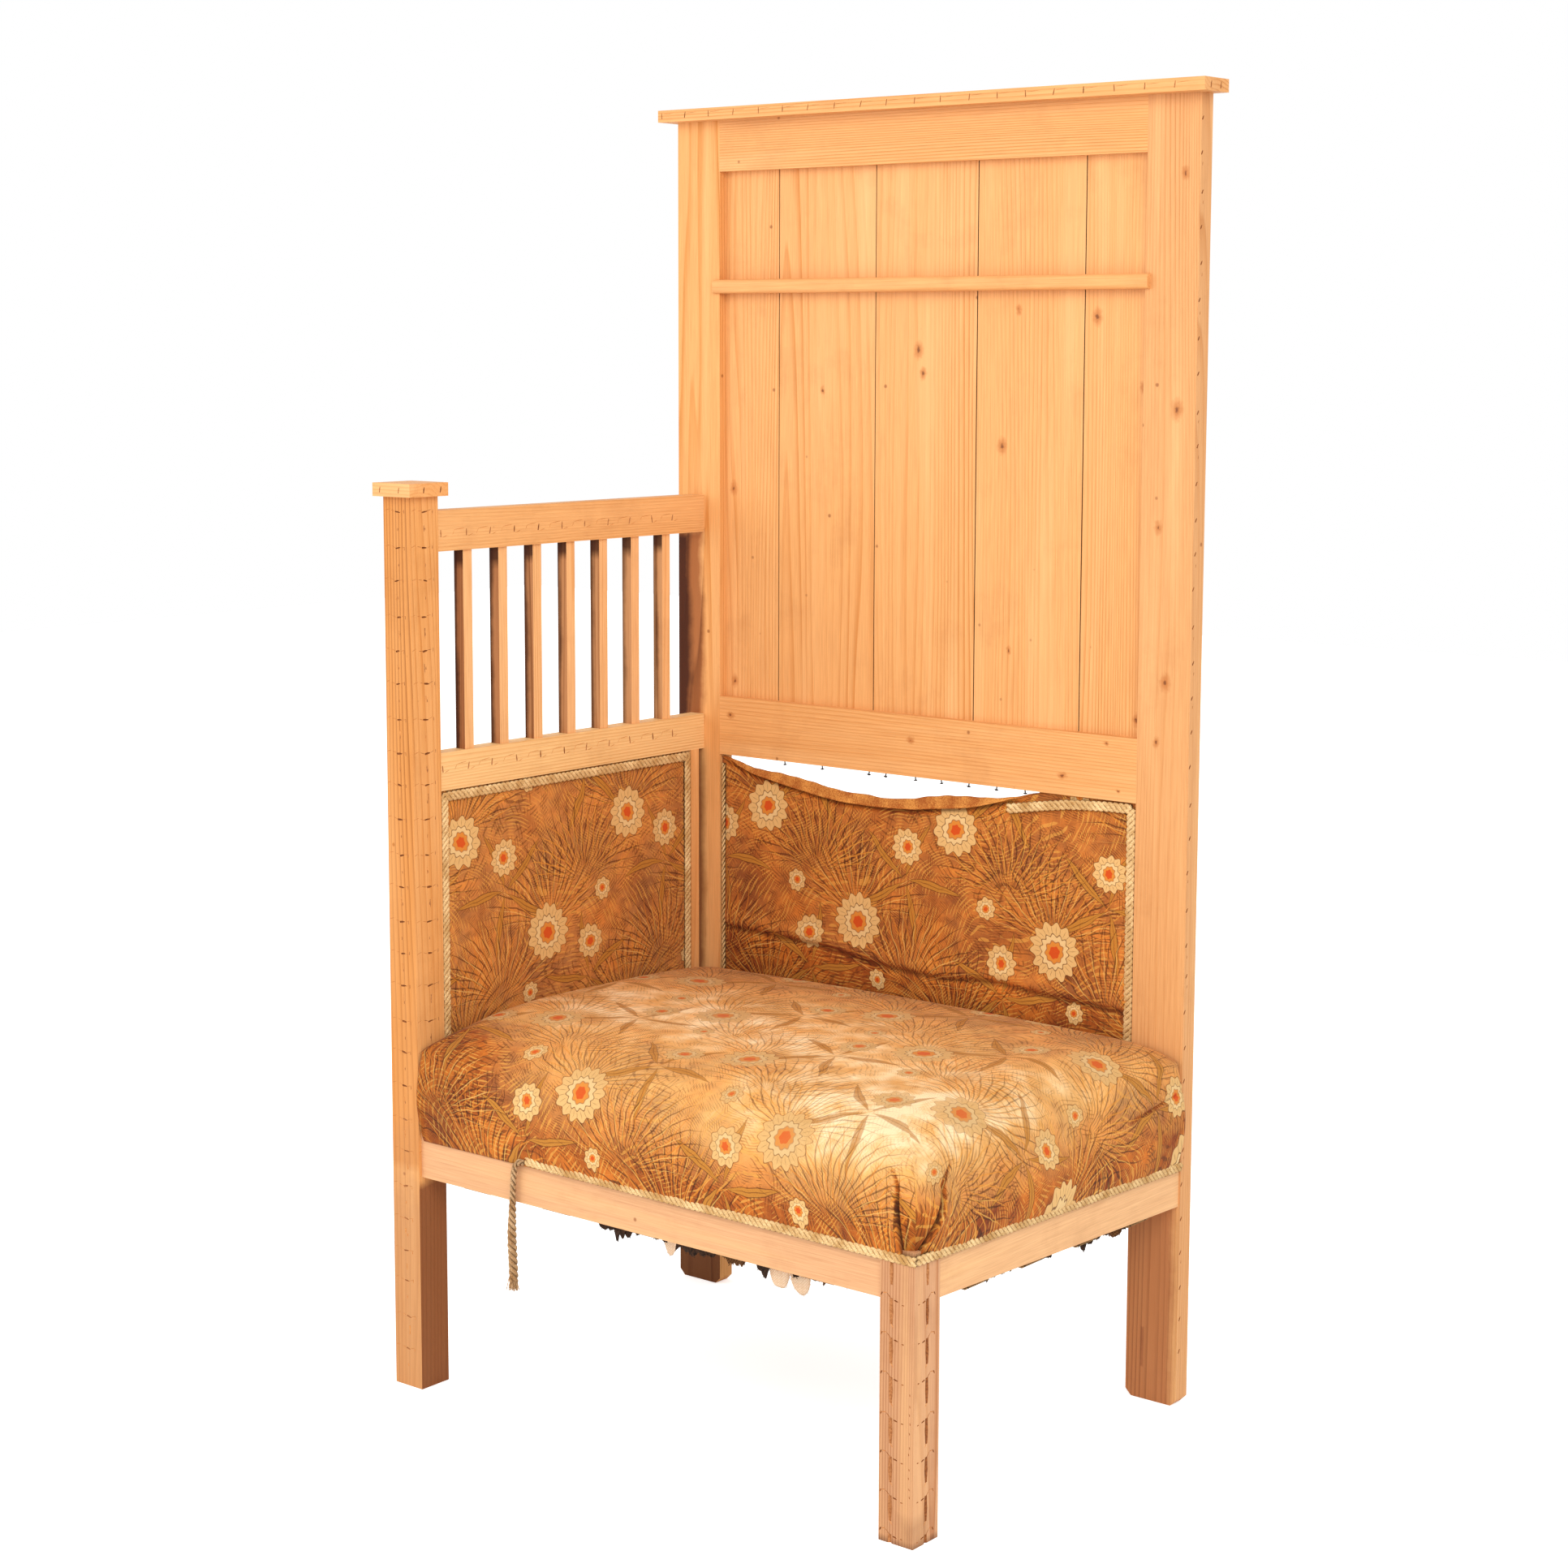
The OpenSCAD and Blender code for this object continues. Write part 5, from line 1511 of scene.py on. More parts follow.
@dataclass
class SeatCushion:
    """The sprung seat: printed cotton over hair, rolled at the front and the open side and pleated between.

    Sizes are in mm. Those that come in fours are for the front, right, back and left, but "small" and "wide",
    the corners' radii at the foot and on top, are for the front right, back right, back left and front left.
    "crowd_front" and "crowd_side" draw the points of those sides together towards the pleats between them.
    "rubbed_and_shaded" lists where the print is worn, and with a negative amount the painted shade near the
    post:
    place, reach in x and y, and how much.
    """

    left: float = 51.4
    right: float = 888.3
    front: float = -597.3
    back: float = -0.8
    shoulder: float = 438.0
    rim: float = 494.0
    arch: float = 21.0
    columns: int = 120
    bend: int = 12
    pleated_bend: int = 84
    wall_rings: int = 44
    roll_rings: int = 39
    top_rings: int = 30
    crowd_front: float = 1.6
    crowd_side: float = 2.1
    feet: tuple[float, ...] = (SIZE.cloth_low, SIZE.cloth_low, 364.4, 364.4)
    swell: tuple[float, ...] = (9.0, 12.0, 0.3, 0.3)
    roll: tuple[float, ...] = (104.0, 92.0, 24.0, 24.0)
    small: tuple[float, ...] = (38.0, 14.0, 10.0, 8.0)
    wide: tuple[float, ...] = (150.0, 40.0, 26.0, 40.0)
    core: float = 286.0
    core_turn: float = 12.0
    pleat_foot: float = 356.0
    pleat_high: float = 90.0
    rubbed_and_shaded: tuple = (((470, -330), 380, 200, 0.56), ((810, -550), 170, 150, 0.75),
                     ((170, -330), 160, 190, 0.3), ((70, -595), 130, 80, -0.8),
                     ((880, -260), 60, 220, 0.3), ((620, -597), 160, 50, 0.3))

    def height(self, x: np.ndarray, y: np.ndarray) -> np.ndarray:
        """The height of the seat's top, arched from back to front and a little from side to side.

        Args:
            x: how far to the right, in mm.
            y: how far back.

        Returns:
            The height at each place.
        """
        over = np.clip((x - self.left) / (self.right - self.left), 0, 1)
        ahead = np.clip((self.back - y) / (self.back - self.front), 0, 1)
        arched, level = np.sin(np.pi * ahead ** 0.92) ** 0.75, np.sin(np.pi * over)
        left = 7.0 * hump(np.stack([over, ahead], -1), (0, 0.72), 0.14, 0.22)
        ends = 11.0 * bell(over, 0.035) * ahead + 9.0 * bell(1 - over, 0.035)
        return (self.rim + self.arch * arched * (0.94 + 0.06 * level) + left - ends
                + 9.0 * level ** 0.8 * (1 - arched))

    def border(self, insets: np.ndarray, turns: np.ndarray) -> tuple[np.ndarray, np.ndarray]:
        """One ring round the seat.

        Args:
            insets: how far it lies inside the front, right, back and left, in mm.
            turns: the radius of each corner.

        Returns:
            Its points and outward directions, which start at the front's left end.
        """
        x0, x1 = self.left + insets[3], self.right - insets[1]
        y0, y1 = self.front + insets[0], self.back - insets[2]
        corners = ((x1, y0, -1, 1), (x1, y1, -1, -1), (x0, y1, 1, -1), (x0, y0, 1, 1))
        centres = [np.array((x + turn * aside, y + turn * ahead))
                   for (x, y, aside, ahead), turn in zip(corners, turns)]
        spots, outs = [], []
        for k, radius in enumerate(turns):
            lead = math.radians(90 * k - 90)
            way = np.array((math.cos(lead), math.sin(lead)))
            begin, end = centres[k - 1] + way * turns[k - 1], centres[k] + way * radius
            share = np.linspace(0, 1, self.columns if k < 3 else int(self.columns * 0.6), endpoint=False)
            if k == 0:
                share = 1 - (1 - share) ** self.crowd_front
            if k == 1:
                share = share ** self.crowd_side
            spots.append(begin + (end - begin) * share[:, None])
            outs.append(np.repeat(way[None], len(share), 0))
            arc = lead + np.linspace(0, np.pi / 2, self.bend if k else self.pleated_bend, endpoint=False)
            ring = np.stack([np.cos(arc), np.sin(arc)], 1)
            spots.append(centres[k] + ring * radius)
            outs.append(ring)
        return np.concatenate(spots), np.concatenate(outs)

    def pleats(self, spot: np.ndarray, z: np.ndarray) -> tuple[np.ndarray, np.ndarray]:
        """The two folds at the front right corner, where the cover's fullness is tucked in.

        Args:
            spot: where each point of the ring starts at the seat's foot.
            z: how high each point lies.

        Returns:
            How far the cloth stands out from the plain round, in mm, and how deep in a fold it lies.
        """
        run = (spot - np.array((self.right, self.front))) @ np.array((1.0, 1.0))
        up = (z - self.pleat_foot) / self.pleat_high
        fade = np.clip((1.15 - up) / 0.6, 0, 1) ** 0.5
        left, right = -18.0 - 11.0 * up, 1.0 + 56.0 * up + 7.0 * up * (1 - up)
        stand, tuck_shade = np.zeros_like(run), np.zeros_like(run)
        for at, way, deep in ((left, -1, 7.0), (right, 1, 8.0)):
            gap = (run - at) * way
            stand -= deep * bell(gap, 1.7) * fade
            stand += 3.6 * bell(gap - 5, 4.0) * fade
            tuck_shade += bell(gap, 1.5 + 1.1 * np.clip(up, 0, 1)) * fade
        inner = np.clip((run - left) / 3, 0, 1) * np.clip((right - run) / 3, 0, 1) * fade
        turned = np.clip((spot[:, 1] + 150) / 30, 0, 1) * (spot[:, 0] > self.right - 3)
        crease = bell(z - 428 - (spot[:, 1] + 130) * 0.12, 1.8) * turned
        # Depth in the two folds, the sunk gore between them and a crease on the right side, which the print
        # takes as dirt and painted shade.
        deep = tuck_shade + 0.3 * inner * np.clip(1.2 - up, 0, 1) + 0.5 * crease
        return stand - 3.0 * inner - 3.0 * crease, np.clip(deep, 0, 1)

    def rings(self) -> tuple[np.ndarray, np.ndarray, np.ndarray]:
        """Shapes the cloth ring by ring: up its walls, over its roll and across its top to the middle.

        Returns:
            Its points, how deep in a fold they are, and how much each column belongs to each side.
        """
        roll, small, wide = (np.array(sizes) for sizes in (self.roll, self.small, self.wide))
        base, outward = self.border(np.zeros(4), small)
        pull = np.clip(outward @ WAYS.T, 0, 1) ** 2
        foot = pull @ np.array(self.feet) - pull[:, 1] * SIZE.drop(base[:, 1])
        swell = pull @ np.array(self.swell)
        open_side = np.clip(pull[:, 0] + pull[:, 1], 0, 1)
        run = distance(base)
        arm_end, open_end = (self.left, self.front), (self.right, self.back)
        shoulder = self.shoulder + 34 * hump(base, arm_end, 110, 200) + 36 * hump(base, open_end, 200, 150)
        rings, folds = [], []
        for share in (0.0, 0.03, *np.linspace(0.07, 1, self.wall_rings)):
            z = foot + (shoulder - foot) * share
            out = swell * math.sin(math.pi * min(share * 1.02, 1)) ** 0.8
            pucker = 1.3 * ripple(run / 42, 5) * math.exp(-share * 4) + 1.6 * lumps(run, z * 1.3, 130, 8)
            stand, tuck_shade = self.pleats(base, z)
            spot = base + outward * (out + open_side * pucker * min(1, share * 8))[:, None]
            spot = spot + outward * stand[:, None] * min(1, share * 20)
            rings.append(np.column_stack([spot, z]))
            folds.append(tuck_shade)
        for angle in np.linspace(0, np.pi / 2, self.roll_rings + 1)[1:]:
            inward = 1 - math.cos(angle)
            spot, out = self.border(roll * inward, small + (wide - small) * inward)
            full = 1 - 0.3 * hump(spot, arm_end, 150, 90) - 0.4 * hump(spot, open_end, 90, 120)
            z = shoulder + (self.height(*spot.T) - shoulder) * math.sin(angle) ** full
            bump = 1.6 * lumps(run, z * 1.3, 130, 8) * open_side
            stand, tuck_shade = self.pleats(base, z)
            spot = spot + out * (bump * math.cos(angle) + stand)[:, None]
            rings.append(np.column_stack([spot, z + bump * math.sin(angle)]))
            folds.append(tuck_shade)
        for share in np.arange(1, self.top_rings + 1) / self.top_rings:
            spot, _ = self.border(roll + (self.core - roll) * share, wide + (self.core_turn - wide) * share)
            inside = min(1, share * 4)
            z = self.height(*spot.T) + 2.4 * lumps(*spot.T, 230, 21) * inside
            z = z + 0.7 * lumps(*spot.T, 80, 22) * inside
            rings.append(np.column_stack([spot, z]))
            folds.append(0 * z)
        return np.array(rings), np.array(folds), pull

    def unrolled(self, grid: np.ndarray, pull: np.ndarray, seam: int) -> np.ndarray:
        """Lays the cloth flat, with its walls turned out from the top.

        Args:
            grid: its points, ring by ring.
            pull: how much each column belongs to each of the four sides.
            seam: the last column that turns out with the front.

        Returns:
            Where each point lies, in mm.
        """
        side = np.where(pull[:, 1] > 0, 1, np.where(pull[:, 2] > 0, 2, 3))
        side[:seam + 1] = 0
        side[-self.bend:] = 0
        down = np.diff(grid[::-1], axis=0)
        ahead = np.abs((down[..., :2] * WAYS[side]).sum(-1))
        extra = np.cumsum(np.hypot(ahead, down[..., 2]) - ahead, axis=0)
        extra = np.concatenate([np.zeros((1, len(side))), extra])[::-1]
        return grid[..., :2] + WAYS[side] * extra[..., None]

    def build(self) -> None:
        grid, folds, pull = self.rings()
        count = grid.shape[1]
        seam = self.columns + self.pleated_bend // 2 - 1
        faces = grid_faces(len(grid), count, closed=True)
        last, middle = (len(grid) - 1) * count, count - self.bend // 2
        for k in range(count // 2 - 1):
            quad = (middle + k, middle + k + 1, middle - k - 2, middle - k - 1)
            faces.append(tuple(last + i % count for i in quad))
        corners = np.array(faces)
        flat = self.unrolled(grid, pull, seam).reshape(-1, 2)[corners]
        crossing = corners[:, 0] % count == seam
        flat[crossing] = self.unrolled(grid, pull, seam + 1).reshape(-1, 2)[corners[crossing]]
        # Rubbed pale where people sit; the negative patch near the post is painted shade.
        worn = 0.38 + sum(much * hump(grid, at, wide, deep) for at, wide, deep, much in self.rubbed_and_shaded)
        high = np.clip((grid[..., 2] - 385) / 105, 0, 1)
        worn = np.where(worn > 0, np.clip(worn, 0, 1.2) * high, np.clip(worn, -0.25, 0))
        # The folds take dirt and painted shade.
        wear = worn * (1 - folds) - folds
        made = add_mesh("seat_cushion", grid.reshape(-1, 3), faces, flat / 1000, wear)
        thicken(made, SIZE.cloth).material_offset = 1
        dress(made, COTTON, "printed_cloth", REVERSE)
        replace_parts(made, "seat_cover", "seat_stuffing")


@dataclass
class BackPanel:
    """The back's lower panel, whose cover has come off its tacks and sags with its hem turned over.

    Sizes are in mm; "hangs", "folds" and "creases" give x and z along the loose edge, the turned hem and the
    crease.
    """

    left: float = 80.6
    right: float = 807.4
    foot: float = 344.6
    rail: float = 819.6
    fixed: float = 652.0
    face: float = 6.0
    hangs: Line = ((80, 817), (107, 813), (147, 803), (214, 799), (268, 792), (312, 786), (385, 783),
                   (415, 784), (457, 791), (502, 799), (581, 802), (615, 808), (652, 818))
    folds: Line = ((80, 813), (108, 807), (147, 795), (203, 784), (289, 773), (343, 769), (426, 771),
                   (516, 782), (547, 787), (590, 799), (629, 811), (657, 818))
    creases: Line = ((80, 560), (180, 556), (288, 552), (338, 543), (403, 538), (487, 534), (540, 540),
                     (584, 543), (667, 536), (784, 531), (808, 533))

    def edge(self, x: np.ndarray) -> np.ndarray:
        """The cover's top edge, which hangs free up to where it is still fixed.

        Args:
            x: how far to the right, in mm.

        Returns:
            Its height at each x.
        """
        free = np.clip((self.fixed - x) / 30, 0, 1)
        high = self.smooth(self.hangs, x) + free * 0.7 * ripple(x / 55, 4)
        return np.where(x < self.fixed, np.minimum(high, self.rail - 1.5), self.rail + 0.3)

    @staticmethod
    def smooth(line: Line, x: np.ndarray) -> np.ndarray:
        """Reads a line of x and z pairs at x, with its bends eased."""
        at, high = np.array(line, float).T
        return sum(np.interp(x + step, at, high) for step in (-16, -8, 0, 8, 16)) / 5

    def grid(self) -> tuple[np.ndarray, np.ndarray, np.ndarray]:
        """Shapes the cover row by row: up its face, round its loose edge and down its turned hem.

        Returns:
            Its points, where each lies on the flat cloth, in mm, and how rubbed each is, with painted shade
            below 0.
        """
        x = np.linspace(self.left, self.right, 190)
        edge, hem, crease = self.edge(x), self.smooth(self.folds, x), self.smooth(self.creases, x)
        loose = np.clip((self.fixed - x) / 40, 0, 1) * np.clip((x - 86) / 30, 0, 1)
        sides = np.clip(np.minimum(x - self.left, self.right - x) / 18, 0, 1)
        rows, flats, worn = [], [], []
        for share in np.linspace(0, 1, 150):
            z = self.foot + (edge - 5 - self.foot) * share
            bulge = 5.0 * math.sin(math.pi * share) + 2.0 * lumps(x, z, 150, 31)
            bulge = bulge - 4.2 * bell(z - crease, 4.0) + 3.4 * bell(z - crease - 13, 11)
            drag = np.exp(-(edge - z) / 55) * loose
            bulge = bulge + drag * (3.0 * ripple((x + (edge - z) * 0.9) / 95, 12) + 1.0)
            free = sides * min(1, share * 14) * np.where(x > self.fixed, np.clip((edge - z) / 16, 0, 1), 1)
            rows.append(np.column_stack([x, self.face - bulge * free, z]))
            flats.append(np.column_stack([x, z]))
            # Dirt and painted shade in the crease, the cloth a little darker below it, and painted shadow
            # under the turned hem.
            worn.append(0.1 - 0.75 * bell(z - crease + 0.5, 3.6) - 0.25 * np.clip((crease - z) / 30, 0, 1)
                        - 0.85 * (bell(z - hem + 2.0, 3.0) * loose))
        under = rows[-1]
        for angle in np.linspace(0.4, np.pi, 7):
            lift = 5 * math.sin(angle / 2) if angle < np.pi else 4.6
            rolled = loose * (-1.7 * (1 - math.cos(angle)))
            rows.append(under + np.column_stack([0 * x, rolled, lift + 0 * x]))
            flats.append(np.column_stack([x, edge - 5 + 1.8 * angle]))
            worn.append(0 * x + 0.1)
        folded = rows[-1]
        band = np.clip(edge - hem - 1, 1, 18)
        for share in np.arange(1, 8) / 7:
            stand = (2.2 * share + 1.4 * share * ripple(x / 60, 14)) * np.clip(band / 8, 0, 1)
            rows.append(folded + np.column_stack([0 * x, -loose * stand, -loose * share * band]))
            flats.append(np.column_stack([x, edge + 1 + share * band]))
            # The band's lower edge, where it stands off the face, takes painted shade.
            worn.append(0.1 - 0.5 * max(0.0, share - 0.8) / 0.2 * loose)
        return np.array(rows), np.array(flats), np.array(worn)

    def behind(self, rows: int, gap: float) -> tuple[np.ndarray, np.ndarray]:
        """A grid over the panel behind the cover.

        Args:
            rows: how many rows it has.
            gap: how far its top stays below the cover's loose edge, in mm.

        Returns:
            The x and the z of its points.
        """
        x = np.linspace(self.left + 3, self.right - 3, 90)
        top = self.edge(x) - np.where(x < self.fixed, gap, 0.4)
        z = self.foot + (top - self.foot) * np.linspace(0, 1, rows)[:, None]
        return np.broadcast_to(x, z.shape), z

    def build(self) -> None:
        """Makes the cover, its hair and the hessian behind it."""
        front, flat, wear = self.grid()
        cover = add_sheet("back_cover_sagging", front, flat, 1.6, wear)
        cover.modifiers["thickness"].material_offset = 1
        dress(cover, COTTON, "printed_cloth", REVERSE)
        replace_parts(cover, "back_cover")
        x, z = self.behind(50, 9)
        near = np.stack([x, 9.0 + 1.0 * lumps(x, z, 60, 33), z], -1)
        far = np.stack([x, np.full(z.shape, 17.6), z], -1)
        hair = add_pad("back_hair_pad", near, far, np.stack([x, z], -1))
        dress(hair, HAIR, "stuffing")
        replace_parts(hair, "back_stuffing")
        x, z = self.behind(40, 6)
        cloth = np.stack([x, 19.4 + 0.5 * lumps(x, z, 90, 35), z], -1)
        lining = dress(add_sheet("back_hessian_cloth", cloth, np.stack([x, z], -1), 1.2), HESSIAN, "hessian")
        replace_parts(lining, "back_hessian")
        area = float(np.mean(self.edge(x[0]) - 6 - self.foot) * (x[0, -1] - x[0, 0])) / 1e6


@dataclass
class ArmPanel:
    """The arm's lower panel: printed cotton inside, plain hessian outside; sizes in mm.

    "face" and "inner" are how far right the pad's two sides lie, "hessian_at" and "outer_at" the cloths'.
    """

    front: float = -548.4
    back: float = -30.6
    top: float = 825.4
    face: float = 46.0
    inner: float = 35.2
    hessian_at: float = 33.4
    outer_at: float = 25.2
    tack_step: float = 46.0

    def foot(self, y: np.ndarray) -> np.ndarray:
        """The raked rail's top at y."""
        return SIZE.rail_top + 0.8 - SIZE.drop(y)

    def spread(self, cols: int, rows: int) -> tuple[np.ndarray, np.ndarray, np.ndarray]:
        """Spreads a grid over the panel.

        Args:
            cols: how many points it has from front to back.
            rows: how many points it has from foot to top.

        Returns:
            The y, the z and the share of the height at each of its points.
        """
        y = np.broadcast_to(np.linspace(self.front, self.back, cols), (rows, cols))
        share = np.broadcast_to(np.linspace(0, 1, rows)[:, None], (rows, cols))
        return y, self.foot(y) + (self.top - self.foot(y)) * share, share

    def cover(self) -> None:
        """Makes the printed cover over its pad."""
        y, z, share = self.spread(120, 90)
        middle = np.clip(np.minimum(y - self.front, self.back - y) / 22, 0, 1) * np.clip(share * 20, 0, 1)
        middle = middle * np.clip((self.top - z) / 20, 0, 1)
        x = self.face + middle * (2.6 * np.sin(np.pi * share) + 0.9 * lumps(y, z, 140, 41))
        skin, inside = np.stack([x, y, z], -1), np.stack([np.full(x.shape, self.inner), y, z], -1)
        grids = [grid[:, ::-1] for grid in (skin, inside, np.stack([y * -1.0, z], -1))]
        made = add_pad("arm_cover_pad", *grids, np.full(x.shape, 0.2))
        dress(made, COTTON, "printed_cloth")
        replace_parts(made, "arm_cover", "arm_stuffing")

    def cloth(self, name: str, node: str, at: float, slack: float) -> None:
        """Makes one of the two plain cloths behind the pad.

        Args:
            name: the piece's name.
            node: the node that it stands for.
            at: how far right its edge lies, in mm.
            slack: how loosely it hangs in its frame.
        """
        y, z, _ = self.spread(240, 200)
        inside = np.minimum.reduce([y - self.front, self.back - y, z - self.foot(y), self.top - z])
        # Each tack of the edge drags its own fold out of the slack cloth.
        drag = np.exp(-inside / 16) * np.cos(2 * np.pi * (y + z) / self.tack_step) * np.clip(inside / 3, 0, 1)
        x = at + slack * (0.5 * lumps(y, z, 110, 43) + 0.7 * drag + 1.6 * np.clip(inside / 90, 0, 1) ** 0.7)
        made = dress(add_sheet(name, np.stack([x, y, z], -1), np.stack([y, z], -1), 1.2), HESSIAN, "hessian")
        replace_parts(made, node)

    def build(self) -> None:
        """Makes the cover over its pad, the hessian behind and the outer cloth."""
        self.cover()
        self.cloth("arm_hessian_cloth", "arm_hessian", self.hessian_at, 0.3)
        self.cloth("arm_outer_cloth", "arm_outside_cloth", self.outer_at, 1.0)


@dataclass
class UnderSeat:
    """What holds the seat up: webbing, springs and the hessian over them, with the torn lining below.

    "seat_long" to "arm_up" are where the middle of each webbing strip lies, in mm.
    "front_rags" and "side_rags" list each shred of the lining in mm: where it begins and ends, its low edge
    below the front rail or its drop below the side rail, and its kind, which is its finish's place in RAGS;
    kind 2 is near-black felt that also stands in for the shade under the rails, as painted shadow.
    """

    nodes: dict[str, bpy.types.Object]
    seat_long: tuple[float, ...] = (153, 298.5, 444, 589.5, 735)
    seat_cross: tuple[float, ...] = (135, 257.7, 380.3, 503)
    back_across: tuple[int, ...] = (434, 684)
    back_up: tuple[int, ...] = (262, 444, 626)
    arm_up: tuple[float, ...] = (-419.25, -289.5, -159.75)
    front_rags: tuple = ((352, 428, 283, 2), (372, 404, 277, 2), (444, 480, 290, 2), (466, 560, 282, 2),
                         (468, 492, 271, 0), (558, 612, 286, 1), (574, 604, 281, 1), (624, 652, 281, 2),
                         (634, 700, 289, 2), (646, 674, 266, 0), (677, 706, 263, 0), (640, 716, 287, 0),
                         (704, 786, 292, 2), (718, 736, 288, 1))
    side_rags: tuple = ((-452, -330, 8, 2), (-416, -396, 15, 2), (-330, -226, 9, 2), (-238, -100, 11, 2),
                        (-208, -180, 20, 2), (-146, -118, 15, 1))

    def raked(self, x: float, y: float, z: float) -> Point:
        """Turns a point of the raked seat frame to maker's mm.

        Args:
            x: how far it lies to the right, in mm.
            y: how far back along the frame.
            z: how far above the frame's foot.

        Returns:
            The point.
        """
        lean = math.atan(SIZE.rake / SIZE.depth)
        return (x, -SIZE.depth + y * math.cos(lean) + z * math.sin(lean),
                SIZE.rail_low - y * math.sin(lean) + z * math.cos(lean))

    def strip(self, begin: Point, end: Point, side: Point, seed: int, wide: float = 50.0
              ) -> tuple[np.ndarray, np.ndarray]:
        """One webbing strip between two points, a little slack.

        Args:
            begin: the middle of its first end, in mm.
            end: the middle of its other end.
            side: the direction of its width.
            seed: which ripple runs along it.
            wide: its width, in mm.

        Returns:
            Its points, and where each lies on the flat band, in metres.
        """
        begin, end, side = (np.array(v, float) for v in (begin, end, side))
        length = np.linalg.norm(end - begin)
        out = np.cross(unit(end - begin), unit(side))
        share = np.linspace(0, 1, int(length / 9) + 2)
        across = np.linspace(-0.5, 0.5, 9)
        sway = 0.5 * ripple(share * length / 120, seed)[:, None] * np.cos(across * 2)[None]
        grid = (begin + (end - begin) * share[:, None, None] + unit(side) * (across * wide)[None, :, None]
                + out * (sway * np.sin(np.pi * share)[:, None] ** 0.5)[..., None])
        flat = np.broadcast_arrays(across[None] * wide / 1000, share[:, None] * length / 1000)
        return grid, np.stack(flat, -1)

    def webs(self, name: str, node: str, strips: list[tuple[np.ndarray, np.ndarray]]) -> None:
        """Makes one node's strips as one piece of webbing.

        Args:
            name: the piece's name.
            node: the node that it stands for.
            strips: the points of each strip and where they lie on the flat band.
        """
        points, faces = join((grid.reshape(-1, 3), grid_faces(*grid.shape[:2])) for grid, _ in strips)
        place = np.concatenate([flat.reshape(-1, 2) for _, flat in strips])
        made = add_mesh(name, points, faces, place[np.array(faces).ravel()])
        thicken(made, 1.6, 0)
        dress(made, WEBBING, "webbing")
        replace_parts(made, node)

    def webbing(self) -> None:
        """Makes the webbing of the seat, both ways, and of the back and the arm."""
        self.webs("seat_webs_long", "seat_webbing_long",
                  [self.strip(self.raked(x, 9, -1.1), self.raked(x, 614, -1.1), RIGHT, 50 + k)
                   for k, x in enumerate(self.seat_long)])
        self.webs("seat_webs_cross", "seat_webbing_cross",
                  [self.strip(self.raked(24, y, -3.1), self.raked(883, y, -3.1), (0, 1, 0), 60 + k)
                   for k, y in enumerate(self.seat_cross)])
        self.webs("back_webs", "back_webbing",
                  [self.strip((80.5, 21.5, z), (807.5, 21.5, z), (0, 0, 1), 70 + z) for z in self.back_across]
                  + [self.strip((x, 23.6, 345), (x, 23.6, 734), RIGHT, 80 + x) for x in self.back_up])
        self.webs("arm_webs", "arm_webbing",
                  [self.strip((31.5, y, 364.8 - SIZE.drop(y - 25)), (31.5, y, 825.5), (0, 1, 0), 90 + k)
                   for k, y in enumerate(self.arm_up)])

    def hessian(self) -> None:
        """Makes the hessian over the springs."""
        x = np.broadcast_to(np.linspace(60, 880, 90), (60, 90))
        y = np.broadcast_to(np.linspace(12, 590, 60)[:, None], (60, 90))
        z = 113.6 + 1.2 * lumps(x, y, 120, 55)
        cloth = np.array([[self.raked(*p) for p in line] for line in np.stack([x, y, z], -1)])
        over = dress(add_sheet("seat_hessian_cloth", cloth, np.stack([x, y], -1), 1.4), HESSIAN, "hessian")
        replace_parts(over, "seat_hessian")

    def rag(self, begin: Point, end: Point, hang: float, kind: int, number: int
            ) -> tuple[np.ndarray, np.ndarray]:
        """One shred, which hangs from a line with an uneven lower edge and curls.

        Args:
            begin: where it begins, in mm.
            end: where it ends.
            hang: about how far it hangs down.
            kind: its finish's place in RAGS; the first is evener than the others.
            number: its place in the list, which gives it its own ripples.

        Returns:
            Its points, and where each lies on the flat cloth, in metres.
        """
        begin, end = np.array(begin, float), np.array(end, float)
        length = float(np.linalg.norm(end - begin))
        uneven, wave, blunt = (0.13, 30, 0.45) if kind == 0 else (0.62, 24, 0.3)
        share, down = np.linspace(0, 1, int(length / 2) + 4), np.linspace(0, 1, 9)[:, None]
        fall = hang * (1 + uneven * ripple(share * length / wave, 100 + number))
        fall = np.clip(fall, 1.5, 1.25 * hang) * np.sin(np.pi * np.clip(share, 0.004, 0.996)) ** blunt
        out = np.cross(unit(end - begin), (0, 0, 1.0))
        curl = (2.5 + 0.4 * number) * ripple(share * length / 40, 120 + number)[None] * down ** 1.5
        grid = (begin + (end - begin) * share[None, :, None]
                - np.array((0, 0, 1.0)) * (fall * down)[..., None]
                + out * (curl + (0.3 * number) % 3)[..., None])
        return grid, np.stack(np.broadcast_arrays(share[None] * length / 1000, fall * down / 1000), -1)

